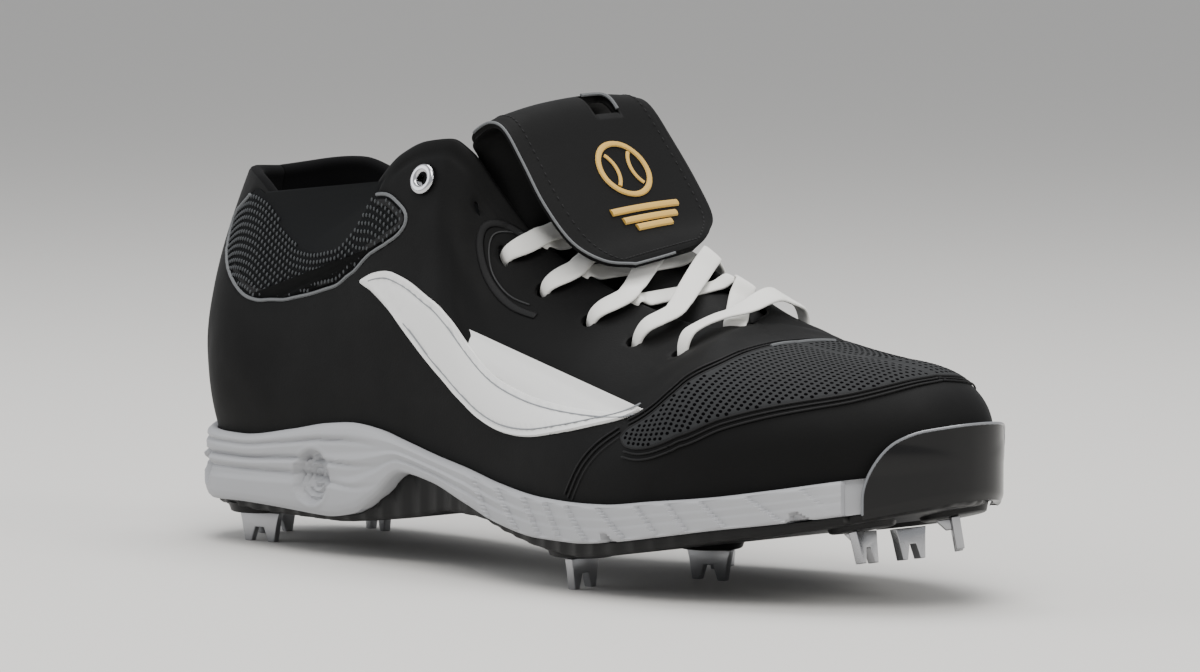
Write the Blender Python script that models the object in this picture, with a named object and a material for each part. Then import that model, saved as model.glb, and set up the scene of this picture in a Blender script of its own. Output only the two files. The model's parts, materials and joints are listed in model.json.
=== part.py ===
"""Low-cut baseball cleat for the right foot, with metal spikes, standing on its spikes.

Shoe frame while the pieces are worked out: X runs from the heel to the toe, +Y is the
inner (medial) side, +Z is up and Z = 0 is the ground under the spike tips. The last step
moves every piece so that the origin is the bottom centre of the whole shoe.
"""
import math

import bmesh
import bpy
import numpy as np
from mathutils import Matrix, Vector
from mathutils.bvhtree import BVHTree
from mathutils.geometry import delaunay_2d_cdt

# Driving sizes in metres
LENGTH = 0.300
BALL_WIDTH = 0.104
SOLE_HEIGHT = 0.030
UPPER_HEIGHT = 0.1245
SPIKE_LENGTH = 0.0090
SPIKE_WIDTH = 0.0150
SPIKE_THICKNESS = 0.0024
BOSS_HEIGHT = 0.0013
BOSS_RADIUS = 0.0095
BOSS_BITE = 0.0012
GAP = 0.0003
PLATE_GAP = 0.0005
LIP = 0.0026
WALL = 0.0022
COLLAR_PAD = 0.0038
RIM_ROUND = 0.0009
PANEL_STEP = 0.0008
STEP_RUN = 0.0008
PLATE_INSET = 0.0030
GUARD_WALL = 0.0022
GUARD_HEIGHT = 0.0215
INSOLE_THICKNESS = 0.0030
TONGUE_THICKNESS = 0.0040
EYELET_RADIUS = 0.0023
GROMMET_RADIUS = 0.0036
GROMMET_BORE = 0.0020
# Share of the wall that the grommet's barrel goes through
GROMMET_DEPTH = 0.60
# How far the rolled flange reaches past the barrel
GROMMET_FLANGE = 0.0010
PUNCH_RADIUS = 0.0012
LACE_WIDTH = 0.0068
LACE_THICKNESS = 0.0013
DIMPLE_RADIUS = 0.0062

# Plate bottom above the ground where the shoe stands
CLEARANCE = SPIKE_LENGTH + GAP + BOSS_HEIGHT

# Mesh density
HALF = 40
ROWS = 10
SOLE_HALF = HALF
CAP_SPLITS = 2

# Outline of the sole seen from above, lateral side first, then back along the medial side
OUTLINE = (
    # along / LENGTH, across / BALL_WIDTH
    (0.000, 0.000),
    (0.015, -0.195),
    (0.074, -0.340),
    (0.200, -0.372),
    (0.330, -0.385),
    (0.460, -0.420),
    (0.580, -0.478),
    (0.680, -0.502),
    (0.780, -0.470),
    (0.870, -0.365),
    (0.945, -0.205),
    (0.988, -0.060),
    (1.000, 0.060),
    (0.985, 0.200),
    (0.930, 0.345),
    (0.850, 0.455),
    (0.760, 0.498),
    (0.670, 0.465),
    (0.560, 0.385),
    (0.440, 0.305),
    (0.320, 0.285),
    (0.200, 0.315),
    (0.090, 0.300),
    (0.024, 0.175),
)
TOE_ROW = 12

# Heights of the sole above the plate's low line, as shares of SOLE_HEIGHT
SOLE_LINES = (
    # along, wall top, midsole bottom, plate bottom, floor
    (0.000, 0.83, 0.17, 0.10, 0.65),
    (0.050, 0.78, 0.08, 0.03, 0.63),
    (0.120, 0.77, 0.10, 0.01, 0.63),
    (0.200, 0.87, 0.08, 0.00, 0.63),
    (0.260, 0.97, 0.06, 0.00, 0.65),
    (0.300, 1.00, 0.12, 0.03, 0.67),
    (0.335, 0.97, 0.30, 0.07, 0.68),
    (0.380, 0.88, 0.58, 0.13, 0.70),
    (0.430, 0.78, 0.52, 0.22, 0.64),
    (0.480, 0.70, 0.38, 0.22, 0.54),
    (0.540, 0.60, 0.23, 0.13, 0.43),
    (0.610, 0.53, 0.15, 0.03, 0.33),
    (0.660, 0.52, 0.15, 0.00, 0.30),
    (0.700, 0.53, 0.18, 0.05, 0.32),
    (0.760, 0.60, 0.27, 0.15, 0.39),
    (0.820, 0.67, 0.37, 0.26, 0.48),
    (0.880, 0.77, 0.46, 0.36, 0.59),
    (0.940, 0.88, 0.57, 0.50, 0.70),
    (1.000, 0.95, 0.72, 0.66, 0.79),
)

# Top edge of the upper's outer face. The row's first value is the share of the half
# perimeter from the heel to the toe. Past ZIP both sides meet on the vamp's ridge.
ZIP = 0.75
RIM = (
    # share, along / LENGTH, lateral across / BALL_WIDTH, height / UPPER_HEIGHT,
    # centre / BALL_WIDTH, medial rise / UPPER_HEIGHT, lean in degrees
    (0.000, 0.028, 0.000, 0.896, 0.000, 0.000, 64),
    (0.060, 0.044, -0.130, 0.900, 0.000, 0.008, 68),
    (0.120, 0.086, -0.218, 0.882, 0.000, 0.032, 74),
    (0.150, 0.116, -0.245, 0.848, 0.002, 0.040, 78),
    (0.180, 0.147, -0.265, 0.790, 0.005, 0.045, 80),
    (0.215, 0.180, -0.285, 0.740, 0.008, 0.040, 83),
    (0.250, 0.212, -0.298, 0.726, 0.011, 0.032, 84),
    (0.290, 0.243, -0.305, 0.733, 0.015, 0.028, 85),
    (0.325, 0.272, -0.303, 0.782, 0.020, 0.026, 84),
    (0.355, 0.302, -0.295, 0.880, 0.025, 0.022, 82),
    (0.385, 0.333, -0.280, 0.955, 0.030, 0.020, 78),
    (0.420, 0.366, -0.262, 0.992, 0.035, 0.020, 72),
    (0.450, 0.392, -0.240, 1.000, 0.040, 0.020, 66),
    (0.475, 0.412, -0.215, 0.970, 0.044, 0.025, 62),
    (0.500, 0.436, -0.185, 0.892, 0.048, 0.032, 58),
    (0.540, 0.477, -0.150, 0.783, 0.052, 0.044, 50),
    (0.580, 0.523, -0.128, 0.717, 0.054, 0.052, 44),
    (0.620, 0.570, -0.112, 0.668, 0.056, 0.056, 40),
    (0.660, 0.620, -0.096, 0.629, 0.058, 0.056, 36),
    (0.695, 0.665, -0.080, 0.602, 0.060, 0.052, 30),
    (0.720, 0.693, -0.048, 0.594, 0.062, 0.036, 18),
    (0.738, 0.706, 0.012, 0.599, 0.064, 0.014, 6),
    (0.750, 0.710, 0.064, 0.599, 0.064, 0.000, 0),
    (0.780, 0.728, 0.066, 0.581, 0.066, 0.000, 0),
    (0.820, 0.760, 0.068, 0.562, 0.068, 0.000, 0),
    (0.860, 0.792, 0.070, 0.550, 0.070, 0.000, 0),
    (0.910, 0.826, 0.072, 0.542, 0.072, 0.000, 0),
    (0.960, 0.850, 0.074, 0.541, 0.074, 0.000, 0),
    (1.000, 0.862, 0.074, 0.535, 0.074, 0.000, 0),
)

# How far the wall swells between the sole and its top edge
SWELL = (
    # share, outward angle at the sole in degrees, lower handle, upper handle
    (0.000, 17, 0.42, 0.30),
    (0.150, 15, 0.40, 0.30),
    (0.300, 5, 0.32, 0.30),
    (0.450, 2, 0.28, 0.34),
    (0.550, 5, 0.30, 0.42),
    (0.650, 9, 0.34, 0.46),
    (0.750, 12, 0.40, 0.52),
    (0.870, 9, 0.44, 0.56),
    (1.000, 3, 0.46, 0.58),
)

# Spikes: name, along / LENGTH, across / BALL_WIDTH, turn about Z in degrees
SPIKES = (
    ("spike_heel_lateral", 0.102, -0.235, 12),
    ("spike_heel_medial", 0.102, 0.215, -12),
    ("spike_heel_back", 0.045, -0.045, 80),
    ("spike_ball_lateral", 0.617, -0.340, 105),
    ("spike_ball_centre", 0.652, 0.050, 12),
    ("spike_ball_medial", 0.585, 0.285, -70),
    ("spike_toe_lateral", 0.893, -0.060, 112),
    ("spike_toe_medial", 0.842, 0.265, 100),
    ("spike_toe_front", 0.932, 0.175, 137),
)


def named(table, column):
    """One column of a table against its first column."""
    rows = np.array([[float(value) for value in row] for row in table])
    return rows[:, 0], rows[:, column]


def follow(table, column, share):
    """Smooth monotone curve through one column of a table."""
    x, y = named(table, column)
    share = np.clip(np.asarray(share, float), x[0], x[-1])
    step = np.diff(x)
    rise = np.diff(y) / step
    slope = np.zeros(len(x))
    slope[0] = rise[0]
    slope[-1] = rise[-1]
    for i in range(1, len(x) - 1):
        if rise[i - 1] * rise[i] > 0:
            w1 = 2 * step[i] + step[i - 1]
            w2 = step[i] + 2 * step[i - 1]
            slope[i] = (w1 + w2) / (w1 / rise[i - 1] + w2 / rise[i])
    k = np.clip(np.searchsorted(x, share, side="right") - 1, 0, len(x) - 2)
    t = (share - x[k]) / step[k]
    h00 = 2 * t ** 3 - 3 * t ** 2 + 1
    h10 = t ** 3 - 2 * t ** 2 + t
    h01 = 3 * t ** 2 - 2 * t ** 3
    h11 = t ** 3 - t ** 2
    return h00 * y[k] + h10 * step[k] * slope[k] + h01 * y[k + 1] + h11 * step[k] * slope[k + 1]


def dense_outline():
    """The closed outline as many short steps, split at the toe into two halves."""
    points = np.array(OUTLINE) * np.array([LENGTH, BALL_WIDTH])
    count = len(points)
    splits = 40
    line = []
    for i in range(count):
        a, b, c, d = (points[(i + k) % count] for k in (-1, 0, 1, 2))
        for j in range(splits):
            t = j / splits
            line.append(0.5 * (2 * b + (c - a) * t + (2 * a - 5 * b + 4 * c - d) * t * t
                               + (3 * b - a - 3 * c + d) * t ** 3))
    line = np.array(line)
    lateral = line[:TOE_ROW * splits + 1]
    medial = np.vstack([line[TOE_ROW * splits:], line[:1]])[::-1]
    return lateral, medial


LATERAL_LINE, MEDIAL_LINE = dense_outline()


def outline_at(side, share):
    """Point and outward normal of the sole's outline; side -1 is lateral, +1 medial."""
    line = LATERAL_LINE if side < 0 else MEDIAL_LINE
    run = np.concatenate([[0], np.cumsum(np.hypot(*np.diff(line, axis=0).T))])
    run /= run[-1]
    share = np.asarray(share, float)
    point = np.stack([np.interp(share, run, line[:, k]) for k in (0, 1)], -1)
    spread = 0.012
    ahead = np.stack([np.interp(share + spread, run, line[:, k]) for k in (0, 1)], -1)
    behind = np.stack([np.interp(share - spread, run, line[:, k]) for k in (0, 1)], -1)
    along = ahead - behind
    along /= np.linalg.norm(along, axis=-1, keepdims=True)
    normal = np.stack([along[..., 1], -along[..., 0]], -1) * (-side)
    ends = (share < spread) | (share > 1 - spread)
    square = np.where(share < 0.5, -1.0, 1.0)
    flat = np.stack([square, np.zeros_like(square)], -1)
    blend = np.clip(np.minimum(share, 1 - share) / spread, 0, 1)[..., None]
    normal = np.where(ends[..., None], flat * (1 - blend) + normal * blend, normal)
    normal /= np.linalg.norm(normal, axis=-1, keepdims=True)
    return point, normal


def sole_z(column, x):
    """Height of a line of the sole at a place along the shoe."""
    return CLEARANCE + SOLE_HEIGHT * follow(SOLE_LINES, column, x / LENGTH)


def wall_top(x):
    return sole_z(1, x)


def midsole_bottom(x):
    return sole_z(2, x)


def plate_bottom(x):
    return sole_z(3, x)


def floor(x):
    return sole_z(4, x)


def rim(side, share):
    """Top end of the upper's outer face, and its lean in radians."""
    x = LENGTH * follow(RIM, 1, share)
    y = BALL_WIDTH * follow(RIM, 2, share)
    z = UPPER_HEIGHT * follow(RIM, 3, share)
    centre = BALL_WIDTH * follow(RIM, 4, share)
    if side > 0:
        y = 2 * centre - y
        z = z + UPPER_HEIGHT * follow(RIM, 5, share)
    return np.stack([x, y, z], -1), np.radians(follow(RIM, 6, share))


def upper_point(side, share, v):
    """Outer face of the upper: v is 0 at the sole's lip and 1 at the top edge.

    Below zero the wall goes straight down inside the lip, in metres per unit of v.
    """
    share = np.asarray(share, float)
    v = np.asarray(v, float)
    foot, normal = outline_at(side, share)
    base_xy = foot - normal * (LIP + GAP)
    base = np.concatenate([base_xy, wall_top(foot[..., 0])[..., None]], -1)
    top, lean = rim(side, share)
    reach = np.linalg.norm(top - base, axis=-1)[..., None]
    outward = np.concatenate([normal, np.zeros(normal.shape[:-1] + (1,))], -1)
    up = np.zeros_like(base)
    up[..., 2] = 1
    swell = np.radians(follow(SWELL, 1, share))[..., None]
    low = base + reach * follow(SWELL, 2, share)[..., None] * (outward * np.sin(swell) + up * np.cos(swell))
    lean = lean[..., None]
    high = top - reach * follow(SWELL, 3, share)[..., None] * (up * np.sin(lean) - outward * np.cos(lean))
    w = np.clip(v, 0, 1)[..., None]
    point = ((1 - w) ** 3 * base + 3 * (1 - w) ** 2 * w * low
             + 3 * (1 - w) * w ** 2 * high + w ** 3 * top)
    depth = wall_top(foot[..., 0]) - floor(foot[..., 0]) - GAP
    point = point + np.where(v < 0, v * depth, 0)[..., None] * up
    return point


def measured_walls(side, stations=121, steps=25):
    """Length of the wall from the lip to its top edge, at even shares of the perimeter."""
    v = np.linspace(0, 1, steps)
    lengths = []
    for share in np.linspace(0, 1, stations):
        points = upper_point(side, np.full(steps, share), v)
        lengths.append(np.linalg.norm(np.diff(points, axis=0), axis=1).sum())
    return np.array(lengths)


WALL_LENGTHS = {side: measured_walls(side) for side in (-1, 1)}


def wall_length(side, share):
    lengths = WALL_LENGTHS[side]
    return float(np.interp(share, np.linspace(0, 1, len(lengths)), lengths))


def flat_place(side, share, v):
    """Place of a point of the upper on its flattened pattern."""
    foot, normal = outline_at(side, share)
    base_xy = foot - normal * (LIP + GAP)
    top, _ = rim(side, share)
    along = np.array([-normal[1], normal[0]])
    skew = np.dot(base_xy - top[:2], along)
    return top[:2] + (1 - v) * (normal * wall_length(side, share) + along * skew)


# Panels on the upper as closed lines: side, height of the step, (share, v) corners
COLLAR_PANEL = (
    (0.040, 0.62), (0.035, 0.80), (0.075, 0.93), (0.125, 0.965), (0.170, 0.965),
    (0.230, 0.955), (0.290, 0.955), (0.330, 0.950), (0.352, 0.930), (0.372, 0.890),
    (0.392, 0.800), (0.395, 0.730), (0.370, 0.680), (0.330, 0.640), (0.280, 0.600),
    (0.220, 0.560), (0.150, 0.510), (0.090, 0.480), (0.055, 0.500),
)
SIDE_PANEL = (
    (0.372, 0.500), (0.385, 0.520), (0.430, 0.495), (0.520, 0.435), (0.610, 0.375), (0.690, 0.315),
    (0.706, 0.290), (0.700, 0.265), (0.650, 0.200), (0.590, 0.120), (0.545, 0.075),
    (0.525, 0.070), (0.508, 0.085), (0.480, 0.180), (0.440, 0.300), (0.400, 0.410),
)


class Pattern:
    """Flattened pattern of the upper with grid points, edge lines and cut holes."""

    def __init__(self):
        self.flat = []
        self.where = []
        self.edges = []
        self.holes = []
        self.steps = []

    def add(self, side, share, v):
        self.flat.append(flat_place(side, share, v))
        self.where.append((side, share, v))
        return len(self.flat) - 1

    def chain(self, indices, closed=True):
        count = len(indices)
        last = count if closed else count - 1
        for k in range(last):
            self.edges.append((indices[k], indices[(k + 1) % count]))


def distance_to_loop(points, loop):
    """Distance of each point to a closed line, and whether it is inside."""
    points = np.asarray(points)
    loop = np.asarray(loop)
    nxt = np.roll(loop, -1, axis=0)
    best = np.full(len(points), 1e9)
    inside = np.zeros(len(points), bool)
    for a, b in zip(loop, nxt):
        ab = b - a
        t = np.clip(((points - a) @ ab) / max(ab @ ab, 1e-18), 0, 1)
        best = np.minimum(best, np.linalg.norm(points - (a + t[:, None] * ab), axis=1))
        crosses = (a[1] > points[:, 1]) != (b[1] > points[:, 1])
        with np.errstate(divide="ignore", invalid="ignore"):
            at = (b[0] - a[0]) * (points[:, 1] - a[1]) / (b[1] - a[1]) + a[0]
        inside ^= crosses & (points[:, 0] < at)
    return best, inside


def smooth_loop(corners, splits):
    """Closed line through hand-set corners, rounded between them."""
    corners = np.array(corners)
    count = len(corners)
    out = []
    for i in range(count):
        a, b, c, d = (corners[(i + k) % count] for k in (-1, 0, 1, 2))
        for j in range(splits):
            t = j / splits
            out.append(0.5 * (2 * b + (c - a) * t + (2 * a - 5 * b + 4 * c - d) * t * t
                              + (3 * b - a - 3 * c + d) * t ** 3))
    return np.array(out)


# Holes of one side: kind, share, distance from the top edge
EYELETS = (
    ("eyelet_1", 0.527, 0.0105, EYELET_RADIUS),
    ("eyelet_2", 0.570, 0.0100, EYELET_RADIUS),
    ("eyelet_3", 0.622, 0.0105, EYELET_RADIUS),
    ("eyelet_4", 0.668, 0.0108, EYELET_RADIUS),
    ("eyelet_5", 0.714, 0.0130, EYELET_RADIUS),
    ("grommet", 0.426, 0.0112, GROMMET_RADIUS),
    ("punch", 0.494, 0.0090, PUNCH_RADIUS),
)


def hole_centre(side, share, back):
    """Share and v of a hole's centre, a set distance below the top edge."""
    return side, share, 1 - back / wall_length(side, share)


def flat_to_where(centre, offset):
    """Share and v of a place close to a centre, by two steps of Newton's method."""
    side, share, v = centre
    target = flat_place(side, share, v) + offset
    guess = np.array([share, v])
    for _ in range(4):
        here = flat_place(side, guess[0], guess[1])
        ds = (flat_place(side, guess[0] + 1e-4, guess[1]) - here) / 1e-4
        dv = (flat_place(side, guess[0], guess[1] + 1e-4) - here) / 1e-4
        guess = guess + np.linalg.solve(np.stack([ds, dv], -1), target - here)
    return side, guess[0], guess[1]


def build_pattern():
    """Points, edge lines and holes of the whole upper."""
    pattern = Pattern()
    v_rows = np.linspace(0, 1, ROWS + 1)
    shares = np.linspace(0, 1, HALF + 1)
    foot_row = []
    lip_row = []
    rim_row = []
    columns = [(-1, s) for s in shares] + [(1, s) for s in shares[::-1][1:-1]]
    for side, share in columns:
        foot_row.append(pattern.add(side, share, -0.12))
        pattern.where[-1] = (side, share, -1.0)
        lip_row.append(pattern.add(side, share, 0.0))
        if share < ZIP - 1e-6:
            rim_row.append(pattern.add(side, share, 1.0))
        elif side < 0:
            pattern.add(side, share, 1.0)
    pattern.chain(foot_row)
    # The top edge is closed across the throat's lower end by the first ridge point
    first_zip = next(i for i, w in enumerate(pattern.where)
                     if w[2] == 1.0 and w[1] >= ZIP - 1e-6)
    opening = []
    for index in rim_row:
        opening.append(index)
        side, share, _ = pattern.where[index]
        if side < 0 and share + 1.0 / HALF >= ZIP - 1e-6:
            opening.append(first_zip)
    pattern.chain(opening)
    return pattern, foot_row, opening, v_rows, columns


def panel_list():
    """Closed lines of every raised or sunk panel: name, step and corners."""
    return (
        ("collar_lateral", -PANEL_STEP, [(-1, s, v) for s, v in COLLAR_PANEL]),
        ("collar_medial", -PANEL_STEP, [(1, s, v) for s, v in COLLAR_PANEL]),
        ("side_lateral", PANEL_STEP, [(-1, s, v) for s, v in SIDE_PANEL]),
        ("side_medial", PANEL_STEP, [(1, s, v) for s, v in SIDE_PANEL]),
    )


def build_upper():
    pattern, foot_row, opening, v_rows, columns = build_pattern()
    keep_clear = []

    # Panel steps: one line on the edge and one a short run outside it
    for name, height, corners in panel_list():
        side = corners[0][0]
        loop = smooth_loop([c[1:] for c in corners], 2)
        flat = np.array([flat_place(side, s, v) for s, v in loop])
        inner = [pattern.add(side, s, v) for s, v in loop]
        pattern.chain(inner)
        nxt = np.roll(flat, -1, axis=0) - np.roll(flat, 1, axis=0)
        normal = np.stack([nxt[:, 1], -nxt[:, 0]], -1)
        normal /= np.linalg.norm(normal, axis=1, keepdims=True)
        area = 0.5 * np.sum(flat[:, 0] * np.roll(flat[:, 1], -1) - np.roll(flat[:, 0], -1) * flat[:, 1])
        normal *= np.sign(area)
        outer = []
        for (s, v), n in zip(loop, normal):
            where = flat_to_where((side, s, v), n * STEP_RUN)
            outer.append(pattern.add(*where))
        pattern.chain(outer)
        keep_clear.append((np.array([pattern.flat[i] for i in inner]), 0.0020, False))
        keep_clear.append((np.array([pattern.flat[i] for i in outer]), 0.0020, False))
        pattern.steps.append((height, np.array([pattern.flat[i] for i in inner])))

    # Holes
    for side in (-1, 1):
        for name, share, back, radius in EYELETS:
            centre = hole_centre(side, share, back)
            sides = 10 if radius > 0.002 else 6
            ring = []
            for k in range(sides):
                turn = 2 * math.pi * k / sides
                offset = radius * np.array([math.cos(turn), math.sin(turn)])
                ring.append(pattern.add(*flat_to_where(centre, offset)))
            pattern.chain(ring)
            loop = np.array([pattern.flat[i] for i in ring])
            pattern.holes.append(loop)
            keep_clear.append((loop, 0.0022, True))

    # Grid points between, except close to a line
    taken = len(pattern.flat)
    for side, share in columns:
        for v in v_rows[1:-1]:
            if share >= ZIP - 1e-6 or v < 1.0:
                pattern.add(side, share, v)
    flat = np.array(pattern.flat)
    drop = np.zeros(len(flat), bool)
    grid = np.arange(taken, len(flat))
    for loop, near, solid in keep_clear:
        distance, inside = distance_to_loop(flat[grid], loop)
        drop[grid] |= (distance < near) | (inside & solid)
    order = np.where(~drop)[0]
    renumber = {int(old): new for new, old in enumerate(order)}
    flat = flat[order]
    where = [pattern.where[i] for i in order]
    edges = [(renumber[a], renumber[b]) for a, b in pattern.edges]

    # Triangulate the pattern, then leave out the opening and the holes
    scale = 1000.0
    verts, _, faces, sources, _, _ = delaunay_2d_cdt(
        [Vector(p) * scale for p in flat], edges, [], 0, 1e-6, True)
    origin = [source[0] if source else None for source in sources]
    if any(o is None for o in origin):
        print("pattern lines cross", sum(o is None for o in origin))
    centres = np.array([np.mean([np.array(verts[i]) for i in f], axis=0) for f in faces]) / scale
    outer_loop = flat[[renumber[i] for i in foot_row]]
    open_loop = flat[[renumber[i] for i in opening]]
    _, keep = distance_to_loop(centres, outer_loop)
    for loop in [open_loop] + pattern.holes:
        _, inside = distance_to_loop(centres, loop)
        keep &= ~inside
    triangles = [[origin[i] for i in f] for f, k in zip(faces, keep) if k]

    base = np.array([upper_point(*w) for w in where])
    return base, flat, where, triangles, pattern


def vertex_normals(points, triangles):
    triangles = np.array(triangles)
    a, b, c = (points[triangles[:, k]] for k in range(3))
    face = np.cross(b - a, c - a)
    normals = np.zeros_like(points)
    for k in range(3):
        np.add.at(normals, triangles[:, k], face)
    return normals / np.maximum(np.linalg.norm(normals, axis=1, keepdims=True), 1e-12)


def material(name, colour, roughness, metallic=0.0):
    made = bpy.data.materials.new(name)
    made.use_nodes = True
    shader = made.node_tree.nodes["Principled BSDF"]
    shader.inputs["Base Color"].default_value = (*colour, 1.0)
    shader.inputs["Roughness"].default_value = roughness
    shader.inputs["Metallic"].default_value = metallic
    made.diffuse_color = (*colour, 1.0)
    return made


def make_object(name, points, faces, finish, smooth=True, outward=True):
    mesh = bpy.data.meshes.new(name)
    mesh.from_pydata([tuple(map(float, p)) for p in points], [], [tuple(map(int, f)) for f in faces])
    shaped = bmesh.new()
    shaped.from_mesh(mesh)
    if outward:
        bmesh.ops.recalc_face_normals(shaped, faces=shaped.faces)
    shaped.to_mesh(mesh)
    shaped.free()
    if smooth:
        mesh.shade_smooth()
        mesh.set_sharp_from_angle(angle=math.radians(35))
    mesh.materials.append(finish)
    made = bpy.data.objects.new(name, mesh)
    bpy.context.scene.collection.objects.link(made)
    return made


def boolean(target, cutter, operation):
    """Apply one exact Boolean and remove the cutter."""
    step = target.modifiers.new(operation.lower(), "BOOLEAN")
    step.operation = operation
    step.solver = "EXACT"
    step.object = cutter
    graph = bpy.context.evaluated_depsgraph_get()
    mesh = bpy.data.meshes.new_from_object(target.evaluated_get(graph))
    target.modifiers.remove(step)
    old = target.data
    target.data = mesh
    bpy.data.meshes.remove(old)
    bpy.data.objects.remove(cutter)


def shell(points, triangles, outer_shift, inner_shift, normals, edge_lift=0.0, lifted=None):
    """Closed wall: an outer and an inner copy of a sheet, joined along every free edge."""
    count = len(points)
    outer = points + normals * outer_shift[:, None]
    inner = points - normals * inner_shift[:, None]
    faces = [tuple(t) for t in triangles]
    faces += [tuple(count + i for i in t[::-1]) for t in triangles]
    seen = {}
    for a, b, c in triangles:
        for e in ((a, b), (b, c), (c, a)):
            seen[e] = True
    extra = []
    middle = {}
    for a, b in seen:
        if (b, a) in seen:
            continue
        if lifted is not None and lifted[a] and lifted[b]:
            for i in (a, b):
                if i not in middle:
                    middle[i] = 2 * count + len(extra)
                    extra.append(0.5 * (outer[i] + inner[i]) + edge_lift[i])
            faces.append((b, a, middle[a], middle[b]))
            faces.append((middle[b], middle[a], count + a, count + b))
        else:
            faces.append((b, a, count + a, count + b))
    every = [outer, inner]
    if extra:
        every.append(np.array(extra))
    return np.vstack(every), faces


def make_upper(finish):
    base, flat, where, triangles, pattern = build_upper()
    normals = vertex_normals(base, triangles)
    if normals[np.argmin(base[:, 1])][1] > 0:
        triangles = [t[::-1] for t in triangles]
        normals = -normals
    raised = np.zeros(len(base))
    for height, loop in pattern.steps:
        distance, inside = distance_to_loop(flat, loop)
        full = inside | (distance < 1e-6)
        raised = np.where(full & (distance >= -1), height, raised)
    share = np.array([w[1] for w in where])
    v = np.array([w[2] for w in where])
    pad = COLLAR_PAD * np.clip((0.42 - share) / 0.06, 0, 1) * np.clip((v - 0.62) / 0.16, 0, 1)
    pad *= 1 - 0.35 * np.clip((v - 0.9) / 0.1, 0, 1)
    inner = WALL + pad
    on_rim = v > 0.999
    lift = np.zeros_like(base)
    for i in np.where(on_rim)[0]:
        side = where[i][0]
        beyond = upper_point(side, share[i], 1.0) - upper_point(side, share[i], 0.98)
        lift[i] = beyond / np.linalg.norm(beyond) * (RIM_ROUND + 0.25 * pad[i])
    points, faces = shell(base, triangles, raised, inner, normals, lift, on_rim)
    return make_object("upper", points, faces, finish)


def loop_shares(half):
    """Columns around the shoe: lateral from heel to toe, then medial back to the heel."""
    shares = np.linspace(0, 1, half + 1)
    return [(-1, s) for s in shares] + [(1, s) for s in shares[::-1][1:-1]]


def ring(half, inset, height):
    """Closed line around the shoe at an inset from the outline and a height."""
    points = []
    for side, share in loop_shares(half):
        foot, normal = outline_at(side, share)
        inward = inset(side, share, foot[0]) if callable(inset) else inset
        place = foot - normal * inward
        points.append((place[0], place[1], height(place[0])))
    return np.array(points)


def cap_faces(loop_start, half, points, height, splits, flip):
    """Fill a ring with strips from its lateral to its medial side."""
    count = 2 * half
    rows = [[loop_start]]
    for i in range(1, half):
        a = loop_start + i
        b = loop_start + count - i
        row = [a]
        for j in range(1, splits):
            t = j / splits
            place = points[a] * (1 - t) + points[b] * t
            points.append(np.array([place[0], place[1], height(place, points[a], points[b], t)]))
            row.append(len(points) - 1)
        row.append(b)
        rows.append(row)
    rows.append([loop_start + half])
    faces = []
    for low, high in zip(rows, rows[1:]):
        if len(low) == 1:
            faces += [(low[0], high[k + 1], high[k]) for k in range(splits)]
        elif len(high) == 1:
            faces += [(low[k], low[k + 1], high[0]) for k in range(splits)]
        else:
            faces += [(low[k], low[k + 1], high[k + 1], high[k]) for k in range(splits)]
    if flip:
        faces = [f[::-1] for f in faces]
    return faces


def ring_solid(rings, half, bottom, top, splits=CAP_SPLITS):
    """Closed solid from rings stacked bottom to top, with a filled first and last ring."""
    count = 2 * half
    points = [p for loop in rings for p in loop]
    faces = []
    for level in range(len(rings) - 1):
        a = level * count
        b = a + count
        for k in range(count):
            n = (k + 1) % count
            faces.append((a + k, a + n, b + n, b + k))
    faces += cap_faces(0, half, points, bottom, splits, False)
    faces += cap_faces((len(rings) - 1) * count, half, points, top, splits, True)
    return points, faces


# The toe guard covers the outline from this share of the half perimeter to the toe
GUARD_SHARE = 0.900


def in_guard(share):
    return share > GUARD_SHARE - 0.5 / SOLE_HALF


def guard_room(share):
    """Inset that makes room for the toe guard."""
    return GUARD_WALL + GAP if in_guard(share) else 0.0


def rib_share(share):
    """The side ribs are full at the heel, low along the forefoot and end at the guard."""
    return 0.0 if in_guard(share) else float(1 - np.clip((share - 0.45) / 0.2, 0, 0.8))


# Side relief of the midsole: height share up the wall, outward bulge in metres
SIDE_RELIEF = (
    (0.00, 0.0000),
    (0.12, 0.0010),
    (0.34, 0.0014),
    (0.42, 0.0006),
    (0.60, 0.0015),
    (0.68, 0.0007),
    (0.88, 0.0010),
    (1.00, 0.0000),
)


def make_midsole(finish):
    half = SOLE_HALF
    rings = []
    for up, bulge in SIDE_RELIEF:
        def inset(side, share, x, bulge=bulge):
            return guard_room(share) - bulge * rib_share(share)

        def height(x, up=up):
            return midsole_bottom(x) + up * (wall_top(x) - midsole_bottom(x))

        rings.append(ring(half, inset, height))
    rings.append(ring(half, LIP, lambda x: wall_top(x) + 0.0))
    rings.append(ring(half, LIP, floor))
    points, faces = ring_solid(
        rings, half,
        lambda place, a, b, t: midsole_bottom(place[0]),
        lambda place, a, b, t: floor(place[0]))
    body = make_object("midsole", points, faces, finish)
    for side in (-1, 1):
        for along, up, radius in ((0.240, 0.40, DIMPLE_RADIUS), (0.052, 0.45, 0.7 * DIMPLE_RADIUS)):
            x = along * LENGTH
            z = midsole_bottom(x) + up * (wall_top(x) - midsole_bottom(x))
            foot, normal = nearest_outline(side, x)
            place = Vector((*(foot + normal * radius * 0.35), z))
            boolean(body, ball(place, radius), "DIFFERENCE")
    for along in (0.705, 0.893):
        x = along * LENGTH
        for side in (-1, 1):
            foot, normal = nearest_outline(side, x)
            place = Vector((*foot, midsole_bottom(x) - 0.0008))
            boolean(body, wedge(place, normal), "DIFFERENCE")
    return body


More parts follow.
